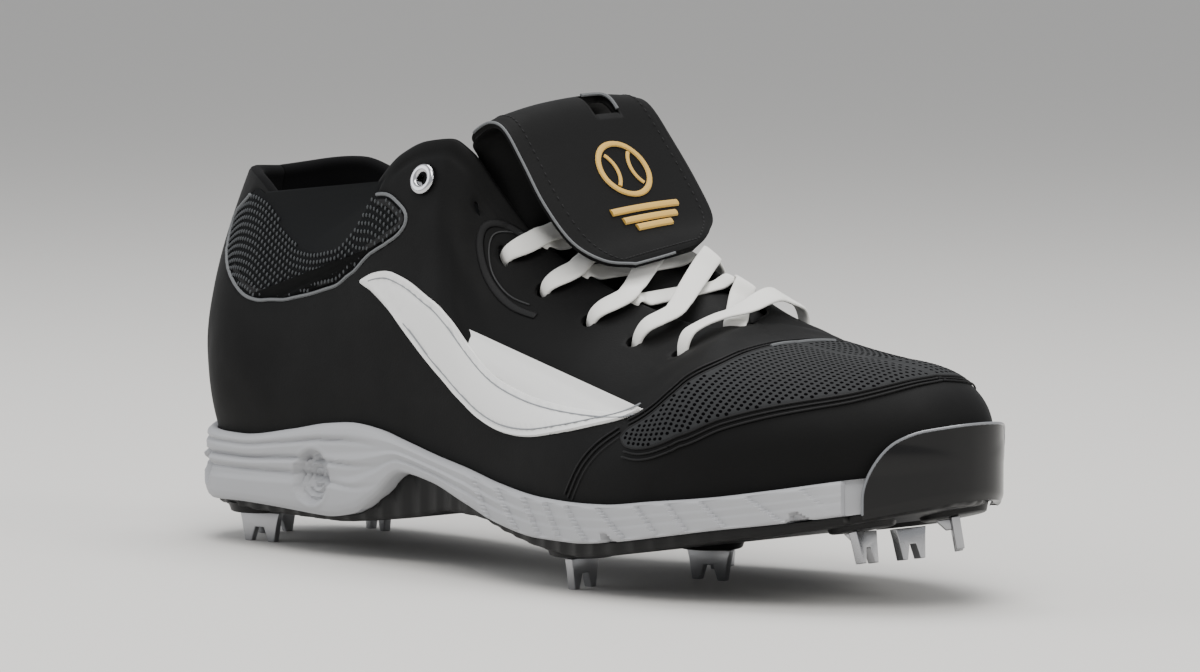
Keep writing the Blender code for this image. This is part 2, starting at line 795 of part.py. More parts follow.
def nearest_outline(side, x):
    """Outline point and normal at a place along the shoe, short of the toe's curve."""
    shares = np.linspace(0.02, 0.98, 400)
    foot, normal = outline_at(side, shares)
    k = int(np.argmin(np.abs(foot[:, 0] - x)))
    return foot[k], normal[k]


def ball(place, radius):
    mesh = bpy.data.meshes.new("cutter")
    shaped = bmesh.new()
    bmesh.ops.create_uvsphere(shaped, u_segments=16, v_segments=8, radius=radius,
                              matrix=Matrix.Translation(place))
    shaped.to_mesh(mesh)
    shaped.free()
    made = bpy.data.objects.new("cutter", mesh)
    bpy.context.scene.collection.objects.link(made)
    return made


def wedge(place, normal):
    """Small roof-shaped cutter across the sole's lower edge."""
    along = Vector((-normal[1], normal[0], 0))
    across = Vector((normal[0], normal[1], 0))
    points = []
    for depth in (-0.006, 0.006):
        for shift, rise in ((-0.0042, -0.002), (0.0042, -0.002), (0.0008, 0.0034)):
            points.append(place + across * depth + along * shift + Vector((0, 0, rise)))
    faces = [(0, 1, 2), (5, 4, 3), (0, 3, 4, 1), (1, 4, 5, 2), (2, 5, 3, 0)]
    finish = bpy.data.materials[0]
    return make_object("cutter", points, faces, finish, smooth=False)


def plate_inset(_, share, x):
    """The plate sits inside the midsole's edge, and deeper under the waist."""
    waist = math.exp(-((x / LENGTH - 0.42) / 0.09) ** 2)
    return PLATE_INSET + 0.0035 * waist + guard_room(share)


def make_outsole(finish):
    half = SOLE_HALF
    bottom = ring(half, lambda side, share, x: plate_inset(side, share, x) + 0.0022, plate_bottom)
    low = ring(half, plate_inset, lambda x: plate_bottom(x) + 0.0008)
    high = ring(half, plate_inset, lambda x: midsole_bottom(x) - PLATE_GAP)
    points, faces = ring_solid(
        [bottom, low, high], half,
        lambda place, a, b, t: plate_bottom(place[0]),
        lambda place, a, b, t: midsole_bottom(place[0]) - PLATE_GAP)
    body = make_object("outsole", points, faces, finish)
    for name, along, across, turn in SPIKES:
        place, tilt = spike_seat(along, across)
        rise = plate_bottom(along * LENGTH) - place.z
        boss = disc(place, tilt, BOSS_RADIUS, rise + BOSS_BITE)
        boolean(body, boss, "UNION")
    return body


def spike_seat(along, across):
    """Lower face of a spike's boss: its centre and its frame, square to the plate."""
    x = along * LENGTH
    y = across * BALL_WIDTH
    ahead = 0.006
    slope = (plate_bottom(x + ahead) - plate_bottom(x - ahead)) / (2 * ahead)
    if along < 0.7:
        slope = 0.0
    tilt = Matrix.Rotation(-math.atan(slope), 4, "Y")
    lowest = CLEARANCE - BOSS_HEIGHT if along < 0.7 else plate_bottom(x) - BOSS_HEIGHT
    return Vector((x, y, lowest)), tilt


def disc(place, tilt, radius, height):
    mesh = bpy.data.meshes.new("cutter")
    shaped = bmesh.new()
    bmesh.ops.create_cone(shaped, cap_ends=True, segments=16, radius1=radius, radius2=radius + 0.001,
                          depth=height, matrix=Matrix.Translation((0, 0, height / 2)))
    bmesh.ops.transform(shaped, matrix=Matrix.Translation(place) @ tilt, verts=shaped.verts)
    shaped.to_mesh(mesh)
    shaped.free()
    made = bpy.data.objects.new("cutter", mesh)
    bpy.context.scene.collection.objects.link(made)
    return made


def make_spike(name, along, across, turn, finish):
    """Forked blade with a square flange behind it, hanging from its boss."""
    place, tilt = spike_seat(along, across)
    place = place - tilt @ Vector((0, 0, GAP))
    w = SPIKE_WIDTH / 2
    h = SPIKE_LENGTH
    front = (
        (-w, 0), (-0.90 * w, -0.30 * h), (-0.74 * w, -h), (-0.42 * w, -h), (-0.22 * w, -0.52 * h),
        (0.22 * w, -0.52 * h), (0.42 * w, -h), (0.74 * w, -h), (0.90 * w, -0.30 * h), (w, 0),
    )
    frame = Matrix.Translation(place) @ tilt @ Matrix.Rotation(math.radians(turn), 4, "Z")
    half = SPIKE_THICKNESS / 2
    count = len(front)
    points = [frame @ Vector((x, -half, z)) for x, z in front]
    points += [frame @ Vector((x, half, z)) for x, z in front]
    faces = [(8, 7, 6, 5), (9, 8, 5, 4, 1, 0), (4, 3, 2, 1)]
    faces += [tuple(count + i for i in f[::-1]) for f in faces]
    faces += [(i, (i + 1) % count, count + (i + 1) % count, count + i) for i in range(count)]
    blade = make_object(name, points, faces, finish, smooth=False)
    rear = ((-0.22 * w, 0), (-0.14 * w, -0.34 * h), (0.14 * w, -0.34 * h), (0.22 * w, 0))
    deep = 0.0052
    points = [frame @ Vector((x, 0, z)) for x, z in rear]
    points += [frame @ Vector((x, deep * (1 if z == 0 else 0.55), z)) for x, z in rear]
    faces = [(3, 2, 1, 0), (4, 5, 6, 7), (0, 1, 5, 4), (1, 2, 6, 5), (2, 3, 7, 6), (3, 0, 4, 7)]
    flange = make_object("cutter", points, faces, finish, smooth=False)
    boolean(blade, flange, "UNION")
    return blade


def make_insole(finish):
    """Footbed inside the upper, lying on the midsole's floor."""
    edge = LIP + GAP + WALL + 2 * GAP
    half = SOLE_HALF
    low = ring(half, edge, lambda x: floor(x) + GAP)
    high = ring(half, edge, lambda x: floor(x) + GAP + INSOLE_THICKNESS)
    points, faces = ring_solid(
        [low, high], half,
        lambda place, a, b, t: floor(place[0]) + GAP,
        lambda place, a, b, t: floor(place[0]) + GAP + INSOLE_THICKNESS)
    return make_object("insole", points, faces, finish)


def make_toe_guard(finish):
    """Glossy guard wrapped around the toe, from the plate to its arched top edge."""
    steps = 9
    shares = np.linspace(GUARD_SHARE + 0.003, 1, steps)
    columns = [(-1, s) for s in shares] + [(1, s) for s in shares[::-1][1:]]
    levels = 6
    points = []
    faces = []
    for side, share in columns:
        foot, normal = outline_at(side, share)
        x = foot[0]
        arch = math.sin(0.5 * math.pi * min(1, (share - GUARD_SHARE) / 0.060 + 0.10))
        low = plate_bottom(x) + 0.0002
        high = plate_bottom(x) + 0.0135 + (GUARD_HEIGHT - 0.0135) * arch
        outer = []
        inner = []
        for k in range(levels + 1):
            z = low + (high - low) * k / levels
            wall = wall_place(side, share, z)
            reach = np.dot(wall - foot, normal) + 2 * GAP
            if z < wall_top(x) + GAP:
                reach = -GUARD_WALL
            inner.append((*(foot + normal * reach), z))
            outer.append((*(foot + normal * (reach + GUARD_WALL)), z))
        points.append(outer + inner[::-1])
    around = 2 * (levels + 1)
    flat = [p for column in points for p in column]
    for c in range(len(points) - 1):
        for k in range(around):
            n = (k + 1) % around
            faces.append((c * around + k, c * around + n, (c + 1) * around + n, (c + 1) * around + k))
    for start, flip in ((0, False), ((len(points) - 1) * around, True)):
        for k in range(levels):
            quad = (start + k, start + k + 1, start + around - 2 - k, start + around - 1 - k)
            faces.append(quad[::-1] if flip else quad)
    return make_object("toe_guard", flat, faces, finish)


def wall_place(side, share, z):
    """Plan place of the upper's outer face at a height."""
    v = np.linspace(0, 0.8, 60)
    line = upper_point(side, np.full(60, share), v)
    k = int(np.argmin(np.abs(line[:, 2] - z)))
    return line[k, :2]


# Lower tongue: it lies under the eyestay and arches across the throat
TONGUE_LOW = (
    # share of the half perimeter, reach under the eyestay / BALL_WIDTH, crown / BALL_WIDTH,
    # half thickness / TONGUE_THICKNESS
    (0.742, 0.120, 0.008, 0.35),
    (0.705, 0.130, 0.016, 0.50),
    (0.665, 0.130, 0.020, 0.50),
    (0.630, 0.128, 0.022, 0.50),
    (0.600, 0.125, 0.032, 0.50),
    (0.570, 0.125, 0.058, 0.50),
    (0.540, 0.120, 0.086, 0.50),
)
# Upper tongue: it stands up between the ears, folds forward and hangs over the laces
TONGUE_HIGH = (
    # along / LENGTH, height / UPPER_HEIGHT, centre / BALL_WIDTH, half width / BALL_WIDTH,
    # sides back / BALL_WIDTH, sides down / BALL_WIDTH, roundness, sideways tilt,
    # half thickness / TONGUE_THICKNESS
    (0.488, 0.912, 0.050, 0.200, 0.200, 0.060, 2.4, 0.04, 0.50),
    (0.466, 0.995, 0.036, 0.205, 0.165, 0.040, 3.0, 0.03, 0.46),
    (0.450, 1.036, 0.030, 0.240, 0.110, 0.034, 3.0, 0.05, 0.40),
    (0.444, 1.068, 0.034, 0.262, 0.040, 0.030, 2.6, 0.08, 0.34),
    (0.453, 1.088, 0.036, 0.268, 0.010, 0.030, 2.2, 0.10, 0.30),
    (0.471, 1.074, 0.040, 0.276, 0.006, 0.032, 2.2, 0.10, 0.30),
    (0.498, 0.992, 0.050, 0.286, 0.012, 0.026, 2.0, 0.08, 0.30),
    (0.528, 0.896, 0.056, 0.290, 0.016, 0.020, 2.0, 0.08, 0.30),
    (0.558, 0.808, 0.060, 0.268, 0.016, 0.014, 2.0, 0.10, 0.30),
    (0.579, 0.762, 0.050, 0.200, 0.010, 0.006, 2.0, 0.15, 0.30),
    (0.590, 0.738, 0.048, 0.110, 0.004, 0.000, 2.0, 0.17, 0.30),
)
WING_COLUMNS = 4
TONGUE_COLUMNS = 13
TONGUE_CLEAR = 0.0020
FOLD_ROW = len(TONGUE_LOW) + 4


def low_row(share, reach, crown, half):
    """One row across the throat, a clearance inside the upper's lining."""
    depth = WALL + TONGUE_CLEAR + half * TONGUE_THICKNESS
    wings = []
    for side in (-1, 1):
        wing = []
        for k in range(WING_COLUMNS):
            below = reach * BALL_WIDTH * (1 - k / (WING_COLUMNS - 1))
            place, normal = wall_frame(side, share, 1 - below / wall_length(side, share))
            wing.append(place - normal * depth)
        wings.append(wing)
    left, right = wings[0][-1], wings[1][-1]
    ahead = upper_point(-1, share - 0.01, 1.0) - upper_point(-1, share + 0.01, 1.0)
    ahead[1] = 0
    up = np.cross(right - left, ahead)
    up /= np.linalg.norm(up) * (1 if up[2] > 0 else -1)
    inner = TONGUE_COLUMNS - 2 * WING_COLUMNS
    arch = []
    for k in range(1, inner + 1):
        t = k / (inner + 1)
        arch.append(left * (1 - t) + right * t + up * crown * BALL_WIDTH * 4 * t * (1 - t))
    return wings[0] + arch + wings[1][::-1]


def high_row(row):
    """One row of the standing part or of the flap."""
    u = np.linspace(-1, 1, TONGUE_COLUMNS)
    centre, half_width, back, down = np.array(row[2:6]) * BALL_WIDTH
    round_off = np.abs(u) ** row[6]
    y = half_width * u
    x = row[0] * LENGTH - back * round_off
    z = row[1] * UPPER_HEIGHT - down * round_off + row[7] * y
    return np.stack([x, centre + y, z], -1)


def tongue_surface():
    """Middle surface points of the tongue, their normals and half thicknesses, by row."""
    rows = [low_row(*row) for row in TONGUE_LOW] + [high_row(row) for row in TONGUE_HIGH]
    grid = np.array(rows)
    half = np.array([row[-1] for row in TONGUE_LOW + TONGUE_HIGH]) * TONGUE_THICKNESS
    along = np.gradient(grid, axis=0)
    across = np.gradient(grid, axis=1)
    normal = np.cross(along, across)
    normal /= np.linalg.norm(normal, axis=-1, keepdims=True)
    return grid, normal, half


def sheet_solid(grid, normal, half):
    """Closed solid of a sheet given by rows of points, with its half thickness by row."""
    rows, columns = grid.shape[:2]
    shift = normal * half[:, None, None]
    points = np.vstack([(grid + shift).reshape(-1, 3), (grid - shift).reshape(-1, 3)])
    count = rows * columns
    faces = []
    for r in range(rows - 1):
        for c in range(columns - 1):
            a = r * columns + c
            faces.append((a, a + 1, a + columns + 1, a + columns))
            faces.append(tuple(count + i for i in (a + columns, a + columns + 1, a + 1, a)))
    border = [(0, c) for c in range(columns)] + [(r, columns - 1) for r in range(1, rows)]
    border += [(rows - 1, c) for c in range(columns - 2, -1, -1)] + [(r, 0) for r in range(rows - 2, 0, -1)]
    index = [r * columns + c for r, c in border]
    for a, b in zip(index, index[1:] + index[:1]):
        faces.append((b, a, count + a, count + b))
    return points, faces


SLOT_WIDTH = 0.0105
SLOT_HEIGHT = 0.0100


def make_tongue(finish):
    """Padded tongue whose top is folded forward over the laces, with a keeper slot."""
    grid, normal, half = tongue_surface()
    points, faces = sheet_solid(grid, normal, half)
    body = make_object("tongue", points, faces, finish)
    row = FOLD_ROW + 1
    middle = Vector(grid[row][TONGUE_COLUMNS // 2 + 2]) * 0.6 + Vector(grid[row + 1][TONGUE_COLUMNS // 2 + 2]) * 0.4
    down = (Vector(grid[row + 1][6]) - Vector(grid[row][6])).normalized()
    across = Vector((0, 1, 0))
    out = across.cross(down).normalized()
    frame = Matrix((across, down, out)).transposed().to_4x4()
    frame.translation = middle
    mesh = bpy.data.meshes.new("cutter")
    shaped = bmesh.new()
    size = Matrix.Diagonal((SLOT_WIDTH, SLOT_HEIGHT, 0.0052, 1))
    bmesh.ops.create_cube(shaped, size=1.0, matrix=frame @ size)
    shaped.to_mesh(mesh)
    shaped.free()
    cutter = bpy.data.objects.new("cutter", mesh)
    bpy.context.scene.collection.objects.link(cutter)
    boolean(body, cutter, "DIFFERENCE")
    return body


def wall_frame(side, share, v):
    """A point of the upper's outer face and its outward normal."""
    here = upper_point(side, share, v)
    ds = upper_point(side, share + 1e-3, v) - upper_point(side, share - 1e-3, v)
    dv = upper_point(side, share, min(v + 1e-3, 1)) - upper_point(side, share, v - 1e-3)
    normal = np.cross(ds, dv)
    normal /= np.linalg.norm(normal)
    if normal[2] < 0:
        normal = -normal
    return here, normal


# Lace runs: lateral eyelet, medial eyelet, layer where they cross the tongue
LACE_RUNS = (
    (5, 5, 1),
    (5, 4, 0),
    (4, 5, 0),
    (4, 3, 1),
    (3, 4, 0),
    (3, 2, 1),
    (2, 3, 0),
    (2, 1, 1),
    (1, 2, 0),
)
LACE_SPANS = 4
THROAT_EDGE = 0.0035
LACE_LAYER = 0.0010
LACE_CLEAR = 0.0010
LACE_SEARCH = 0.020
# Share of the way along the throat that a crossing lace gains before it passes the edge
LACE_AIM = 0.25
LACE_SECTION = ((-0.5, 0.0), (-0.36, 0.5), (0.36, 0.5), (0.5, 0.0), (0.36, -0.5), (-0.36, -0.5))


def under_laces():
    """What the laces lie on: the tongue below its fold, and the upper beside the throat."""
    grid, normal, half = tongue_surface()
    points, faces = sheet_solid(grid[:FOLD_ROW], normal[:FOLD_ROW], half[:FOLD_ROW])
    points = [Vector(p) for p in points]
    shares = np.linspace(0.46, ZIP, 30)
    levels = np.linspace(0.6, 1.0, 12)
    for side in (-1, 1):
        first = len(points)
        for share in shares:
            line = [upper_point(side, share, v) for v in levels]
            beyond = line[-1] - line[-2]
            line.append(line[-1] + beyond / np.linalg.norm(beyond) * 2 * RIM_ROUND)
            points += [Vector(place) for place in line]
        width = len(levels) + 1
        for r in range(len(shares) - 1):
            for c in range(width - 1):
                a = first + r * width + c
                faces.append((a, a + 1, a + width + 1, a + width))
    return BVHTree.FromPolygons(points, faces)


def lace_path(lateral, medial, layer, under):
    """Middle line and upward directions of one flat lace run between two eyelets."""
    lift = LACE_THICKNESS / 2 + LACE_CLEAR
    places = []
    ups = []
    for side, number, other in ((-1, lateral, medial), (1, medial, lateral)):
        _, share, back, _ = EYELETS[number - 1]
        aim = EYELETS[other - 1][1] - share
        at = hole_centre(side, share, back)
        route = ((share, at[2]), (share + 0.5 * LACE_AIM * aim, 0.5 * (1 + at[2])), (share + LACE_AIM * aim, 1.0))
        pair = [wall_frame(side, place, v) for place, v in route]
        ordered = pair if side < 0 else pair[::-1]
        places += [place + up * lift for place, up in ordered]
        ups += [up for _, up in ordered]
    places = np.array(places)
    ups = np.array(ups)
    run = np.concatenate([[0], np.cumsum(np.linalg.norm(np.diff(places, axis=0), axis=1))])
    # The stations keep the eyelets and the throat's edges, with even steps between the edges
    inner = np.linspace(run[2] + THROAT_EDGE, run[3] - THROAT_EDGE, LACE_SPANS + 1)
    t = np.concatenate([run[:3], inner, run[3:]])
    line = np.stack([np.interp(t, run, places[:, k]) for k in range(3)], -1)
    lean = np.stack([np.interp(t, run, ups[:, k]) for k in range(3)], -1)
    lean /= np.linalg.norm(lean, axis=1, keepdims=True)
    over = np.clip(np.minimum(t - run[1], run[4] - t) / 0.004, 0, 1)
    wide = np.cross(lean, np.gradient(line, axis=0))
    wide /= np.linalg.norm(wide, axis=1, keepdims=True)
    for k in range(len(line)):
        heights = [0.0]
        for share in (-0.5, -0.25, 0.0, 0.25, 0.5):
            at = line[k] + wide[k] * LACE_WIDTH * share
            hit = under.ray_cast(Vector(at + lean[k] * LACE_SEARCH), Vector(-lean[k]), 2 * LACE_SEARCH)[0]
            if hit is not None:
                heights.append(np.dot(np.array(hit) - at, lean[k]) + lift)
        line[k] += lean[k] * (max(heights) + LACE_LAYER * layer * over[k])
    return line, lean


def make_laces(finish):
    """The lace runs across the throat as one joined solid."""
    body = None
    under = under_laces()
    for lateral, medial, layer in LACE_RUNS:
        line, up = lace_path(lateral, medial, layer, under)
        ahead = np.gradient(line, axis=0)
        ahead /= np.linalg.norm(ahead, axis=1, keepdims=True)
        wide = np.cross(up, ahead)
        wide /= np.linalg.norm(wide, axis=1, keepdims=True)
        thick = np.cross(ahead, wide)
        points = []
        for p, w, h in zip(line, wide, thick):
            for a, b in LACE_SECTION:
                points.append(p + w * LACE_WIDTH * a + h * LACE_THICKNESS * b)
        around = len(LACE_SECTION)
        faces = []
        for k in range(len(line) - 1):
            for j in range(around):
                n = (j + 1) % around
                faces.append((k * around + j, k * around + n, (k + 1) * around + n, (k + 1) * around + j))
        faces.append(tuple(range(around)))
        faces.append(tuple(range((len(line) - 1) * around, len(line) * around))[::-1])
        if body is None:
            body = make_object("laces", points, faces, finish)
        else:
            boolean(body, make_object("cutter", points, faces, finish), "UNION")
    return body


def make_grommet(name, side, finish):
    """Metal eyelet in the ear of the upper: a tube through the wall with a rolled flange."""
    _, share, back, radius = EYELETS[5]
    centre = hole_centre(side, share, back)
    place, normal = wall_frame(*centre)
    barrel = radius - 3 * GAP
    depth = -GROMMET_DEPTH * WALL
    flange = radius + GROMMET_FLANGE
    turns = 16
    # The wall is curved here, so the flange rests on the highest place under it
    angles = [2 * math.pi * k / turns for k in range(turns)]
    under = [flat_to_where(centre, flange * np.array([math.cos(a), math.sin(a)])) for a in angles]
    seat = max(float(np.dot(upper_point(*where) - place, normal)) for where in under) + 2 * GAP
    profile = (
        (GROMMET_BORE, depth), (GROMMET_BORE, seat + 0.3 * GROMMET_FLANGE),
        (0.5 * (GROMMET_BORE + flange), seat + 0.8 * GROMMET_FLANGE),
        (flange, seat + 0.3 * GROMMET_FLANGE), (flange, seat), (barrel, seat), (barrel, depth),
    )
    normal = Vector(normal)
    frame = normal.to_track_quat("Z", "Y").to_matrix().to_4x4()
    frame.translation = Vector(place)
    points = []
    for angle in angles:
        points += [frame @ Vector((r * math.cos(angle), r * math.sin(angle), h)) for r, h in profile]
    around = len(profile)
    faces = []
    for k in range(turns):
        n = (k + 1) % turns
        for j in range(around):
            m = (j + 1) % around
            faces.append((k * around + j, k * around + m, n * around + m, n * around + j))
    return make_object(name, points, faces, finish)


def centre_on_ground(made):
    """Move every piece so that the origin is the bottom centre of the whole shoe."""
    graph = bpy.context.evaluated_depsgraph_get()
    corners = np.vstack([[item.matrix_world @ v.co for v in item.evaluated_get(graph).data.vertices]
                         for item in made])
    middle = 0.5 * (corners.min(axis=0) + corners.max(axis=0))
    shift = Vector((-middle[0], -middle[1], -corners[:, 2].min()))
    print("moved by", [round(v, 6) for v in shift])
    for item in made:
        item.data.transform(Matrix.Translation(shift))


def main():
    for item in list(bpy.data.objects):
        bpy.data.objects.remove(item)
    black = material("black_leather", (0.012, 0.012, 0.013), 0.75)
    grey = material("grey_midsole", (0.42, 0.42, 0.43), 0.6)
    plate = material("black_plate", (0.01, 0.01, 0.011), 0.35)
    gloss = material("gloss_black_guard", (0.008, 0.008, 0.009), 0.15)
    board = material("black_insole", (0.02, 0.02, 0.02), 0.9)
    steel = material("spike_steel", (0.45, 0.45, 0.47), 0.3, 1.0)
    white = material("white_lace", (0.8, 0.8, 0.8), 0.8)
    made = [make_upper(black), make_midsole(grey), make_outsole(plate),
            make_toe_guard(gloss), make_insole(board), make_tongue(black), make_laces(white),
            make_grommet("grommet_lateral", -1, steel), make_grommet("grommet_medial", 1, steel)]
    made += [make_spike(name, along, across, turn, steel) for name, along, across, turn in SPIKES]
    centre_on_ground(made)


main()
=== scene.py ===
# %% [markdown]
# # Baseball cleat
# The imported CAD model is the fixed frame. Each piece below is a finer stand-in for one CAD
# node, built from the same tables of sizes, so that it keeps the CAD shape. Inside the script
# the shoe uses its own coordinates: X from heel to toe, +Y the inner side, Z up, and SHIFT
# moves them into the frame.

# %%
import json
import math

import bmesh
import bpy
import numpy as np
from mathutils import Matrix, Vector
from mathutils.bvhtree import BVHTree
from mathutils.geometry import delaunay_2d_cdt

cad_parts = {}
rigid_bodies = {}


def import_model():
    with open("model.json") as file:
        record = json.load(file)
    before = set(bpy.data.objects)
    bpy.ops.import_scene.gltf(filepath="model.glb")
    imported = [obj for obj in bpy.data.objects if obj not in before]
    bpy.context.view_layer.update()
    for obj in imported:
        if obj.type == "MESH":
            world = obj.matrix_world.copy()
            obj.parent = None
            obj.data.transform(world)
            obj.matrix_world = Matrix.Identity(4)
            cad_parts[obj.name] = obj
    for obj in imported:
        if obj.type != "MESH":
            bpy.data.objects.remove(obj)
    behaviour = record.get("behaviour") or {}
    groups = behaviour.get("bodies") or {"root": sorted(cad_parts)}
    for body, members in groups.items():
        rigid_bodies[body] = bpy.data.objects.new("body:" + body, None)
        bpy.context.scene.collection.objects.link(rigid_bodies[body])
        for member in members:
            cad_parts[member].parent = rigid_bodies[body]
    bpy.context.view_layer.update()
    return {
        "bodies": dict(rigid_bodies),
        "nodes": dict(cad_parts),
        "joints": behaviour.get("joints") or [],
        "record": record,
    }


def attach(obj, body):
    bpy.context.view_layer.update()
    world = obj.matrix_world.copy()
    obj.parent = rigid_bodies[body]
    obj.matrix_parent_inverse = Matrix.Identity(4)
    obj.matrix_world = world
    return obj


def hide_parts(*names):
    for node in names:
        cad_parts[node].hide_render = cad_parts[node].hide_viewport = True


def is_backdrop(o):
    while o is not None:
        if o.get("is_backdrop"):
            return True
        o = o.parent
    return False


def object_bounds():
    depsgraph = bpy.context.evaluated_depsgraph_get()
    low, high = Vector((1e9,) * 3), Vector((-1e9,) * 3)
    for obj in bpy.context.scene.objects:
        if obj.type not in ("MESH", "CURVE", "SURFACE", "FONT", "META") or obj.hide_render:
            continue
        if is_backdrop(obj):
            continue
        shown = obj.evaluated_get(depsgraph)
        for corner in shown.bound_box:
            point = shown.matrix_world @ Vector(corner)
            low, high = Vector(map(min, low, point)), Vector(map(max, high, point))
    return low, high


for item in list(bpy.data.objects):
    bpy.data.objects.remove(item)
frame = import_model()
SHIFT = np.array([-0.148952, 0.000207, 0.0])
print("frame nodes", len(frame["nodes"]))

# %% [markdown]
# ## Camera, light and floor
# The camera was fitted to the photo: 47 degrees round from the side, just under 5 degrees up
# and 1.8 m away. The shift puts the lens axis where the photo has it.

# %%
TARGET = Vector((0.150, 0.0, 0.060)) + Vector(SHIFT)
AZIMUTH = math.radians(47.0)
ELEVATION = math.radians(4.7)
DISTANCE = 1.8
SENSOR_WIDTH = 36.0
FOCAL_LENGTH = 185.33
# Pixels of the photo: its width, its middle, and where the lens axis meets it
PHOTO_WIDTH = 1200
PHOTO_MIDDLE = (600, 336)
LENS_AXIS = (589, 363)


def soft_light(name, place, size, power, colour):
    lamp = bpy.data.lights.new(name, "AREA")
    lamp.shape = "DISK"
    lamp.size = size
    lamp.energy = power
    lamp.color = colour
    made = bpy.data.objects.new(name, lamp)
    made.location = place
    made.rotation_euler = (TARGET - Vector(place)).to_track_quat("-Z", "Y").to_euler()
    bpy.context.scene.collection.objects.link(made)


back = Vector((math.sin(AZIMUTH) * math.cos(ELEVATION), -math.cos(AZIMUTH) * math.cos(ELEVATION),
               math.sin(ELEVATION)))
lens = bpy.data.cameras.new("camera")
camera = bpy.data.objects.new("camera", lens)
bpy.context.scene.collection.objects.link(camera)
camera.location = TARGET + back * DISTANCE
camera.rotation_euler = back.to_track_quat("Z", "Y").to_euler()
lens.sensor_width = SENSOR_WIDTH
lens.lens = FOCAL_LENGTH
lens.shift_x = (PHOTO_MIDDLE[0] - LENS_AXIS[0]) / PHOTO_WIDTH
lens.shift_y = (LENS_AXIS[1] - PHOTO_MIDDLE[1]) / PHOTO_WIDTH
lens.dof.use_dof = False
bpy.context.scene.camera = camera

soft_light("key", (0.75, -0.75, 1.55), 1.1, 22, (1.0, 0.985, 0.96))
soft_light("fill", (-1.15, -0.95, 0.75), 1.3, 8, (0.95, 0.97, 1.0))
soft_light("top", (-0.10, 0.25, 1.50), 1.2, 18, (1.0, 1.0, 1.0))
soft_light("front", (1.60, 0.30, 0.75), 0.6, 9, (1.0, 0.99, 0.97))
world = bpy.data.worlds.new("pale")
world.use_nodes = True
world.node_tree.nodes["Background"].inputs["Color"].default_value = (0.80, 0.81, 0.83, 1.0)
world.node_tree.nodes["Background"].inputs["Strength"].default_value = 0.72
bpy.context.scene.world = world
print("camera at", [round(v, 3) for v in camera.location])

# %% [markdown]
# ## Finishes
# One function turns sRGB hex colours into linear ones, and one adds a shader node. A finish
# has a grain of a real size in metres, in Object coordinates.

# %%
def linear(hex_colour):
    """sRGB hex as linear RGBA."""
    values = [int(hex_colour[i:i + 2], 16) / 255 for i in (1, 3, 5)]
    return [v / 12.92 if v <= 0.04045 else ((v + 0.055) / 1.055) ** 2.4 for v in values] + [1.0]


def add_node(tree, kind, inputs=None, **settings):
    node = tree.nodes.new(kind)
    for key, value in settings.items():
        setattr(node, key, value)
    for key, value in (inputs or {}).items():
        if isinstance(value, bpy.types.NodeSocket):
            tree.links.new(value, node.inputs[key])
        else:
            node.inputs[key].default_value = value
    return node


def finish(name, colour, rough, metallic=0.0, coat=0.0, sheen=0.0, grain=None, bump=0.0,
           blotch=0.0, rough_spread=0.0, specular=0.5):
    """Principled material: grain is the size in metres of its bumps, blotch a soft colour change."""
    made = bpy.data.materials.new(name)
    made.use_nodes = True
    tree = made.node_tree
    shader = tree.nodes["Principled BSDF"]
    shader.inputs["Base Color"].default_value = linear(colour)
    shader.inputs["Roughness"].default_value = rough
    shader.inputs["Metallic"].default_value = metallic
    shader.inputs["Coat Weight"].default_value = coat
    shader.inputs["Coat Roughness"].default_value = 0.12
    shader.inputs["Sheen Weight"].default_value = sheen
    shader.inputs["Sheen Roughness"].default_value = 0.5
    if not metallic:
        shader.inputs["Specular IOR Level"].default_value = specular
    made.diffuse_color = linear(colour)
    place = add_node(tree, "ShaderNodeTexCoord").outputs["Object"]
    if grain:
        noise = add_node(tree, "ShaderNodeTexNoise", {"Vector": place, "Scale": 1.0 / grain,
                                                      "Detail": 3.0, "Roughness": 0.6})
        relief = add_node(tree, "ShaderNodeBump", {"Strength": bump, "Distance": 0.2 * grain,
                                                   "Height": noise.outputs["Fac"]})
        tree.links.new(relief.outputs["Normal"], shader.inputs["Normal"])
    if blotch or rough_spread:
        cloud = add_node(tree, "ShaderNodeTexNoise", {"Vector": place, "Scale": 38.0, "Detail": 4.0,
                                                      "Roughness": 0.65})
        if blotch:
            dark, light = linear(colour), linear(colour)
            dark[:3] = [v * (1 - blotch) for v in dark[:3]]
            light[:3] = [min(1.0, v * (1 + blotch)) for v in light[:3]]
            mix = add_node(tree, "ShaderNodeMix", {6: dark, 7: light, 0: cloud.outputs["Fac"]},
                           data_type="RGBA")
            tree.links.new(mix.outputs[2], shader.inputs["Base Color"])
        if rough_spread:
            spread = add_node(tree, "ShaderNodeMapRange", {
                "Value": cloud.outputs["Fac"], "From Min": 0.3, "From Max": 0.7,
                "To Min": rough - rough_spread, "To Max": rough + rough_spread})
            tree.links.new(spread.outputs["Result"], shader.inputs["Roughness"])
    return made


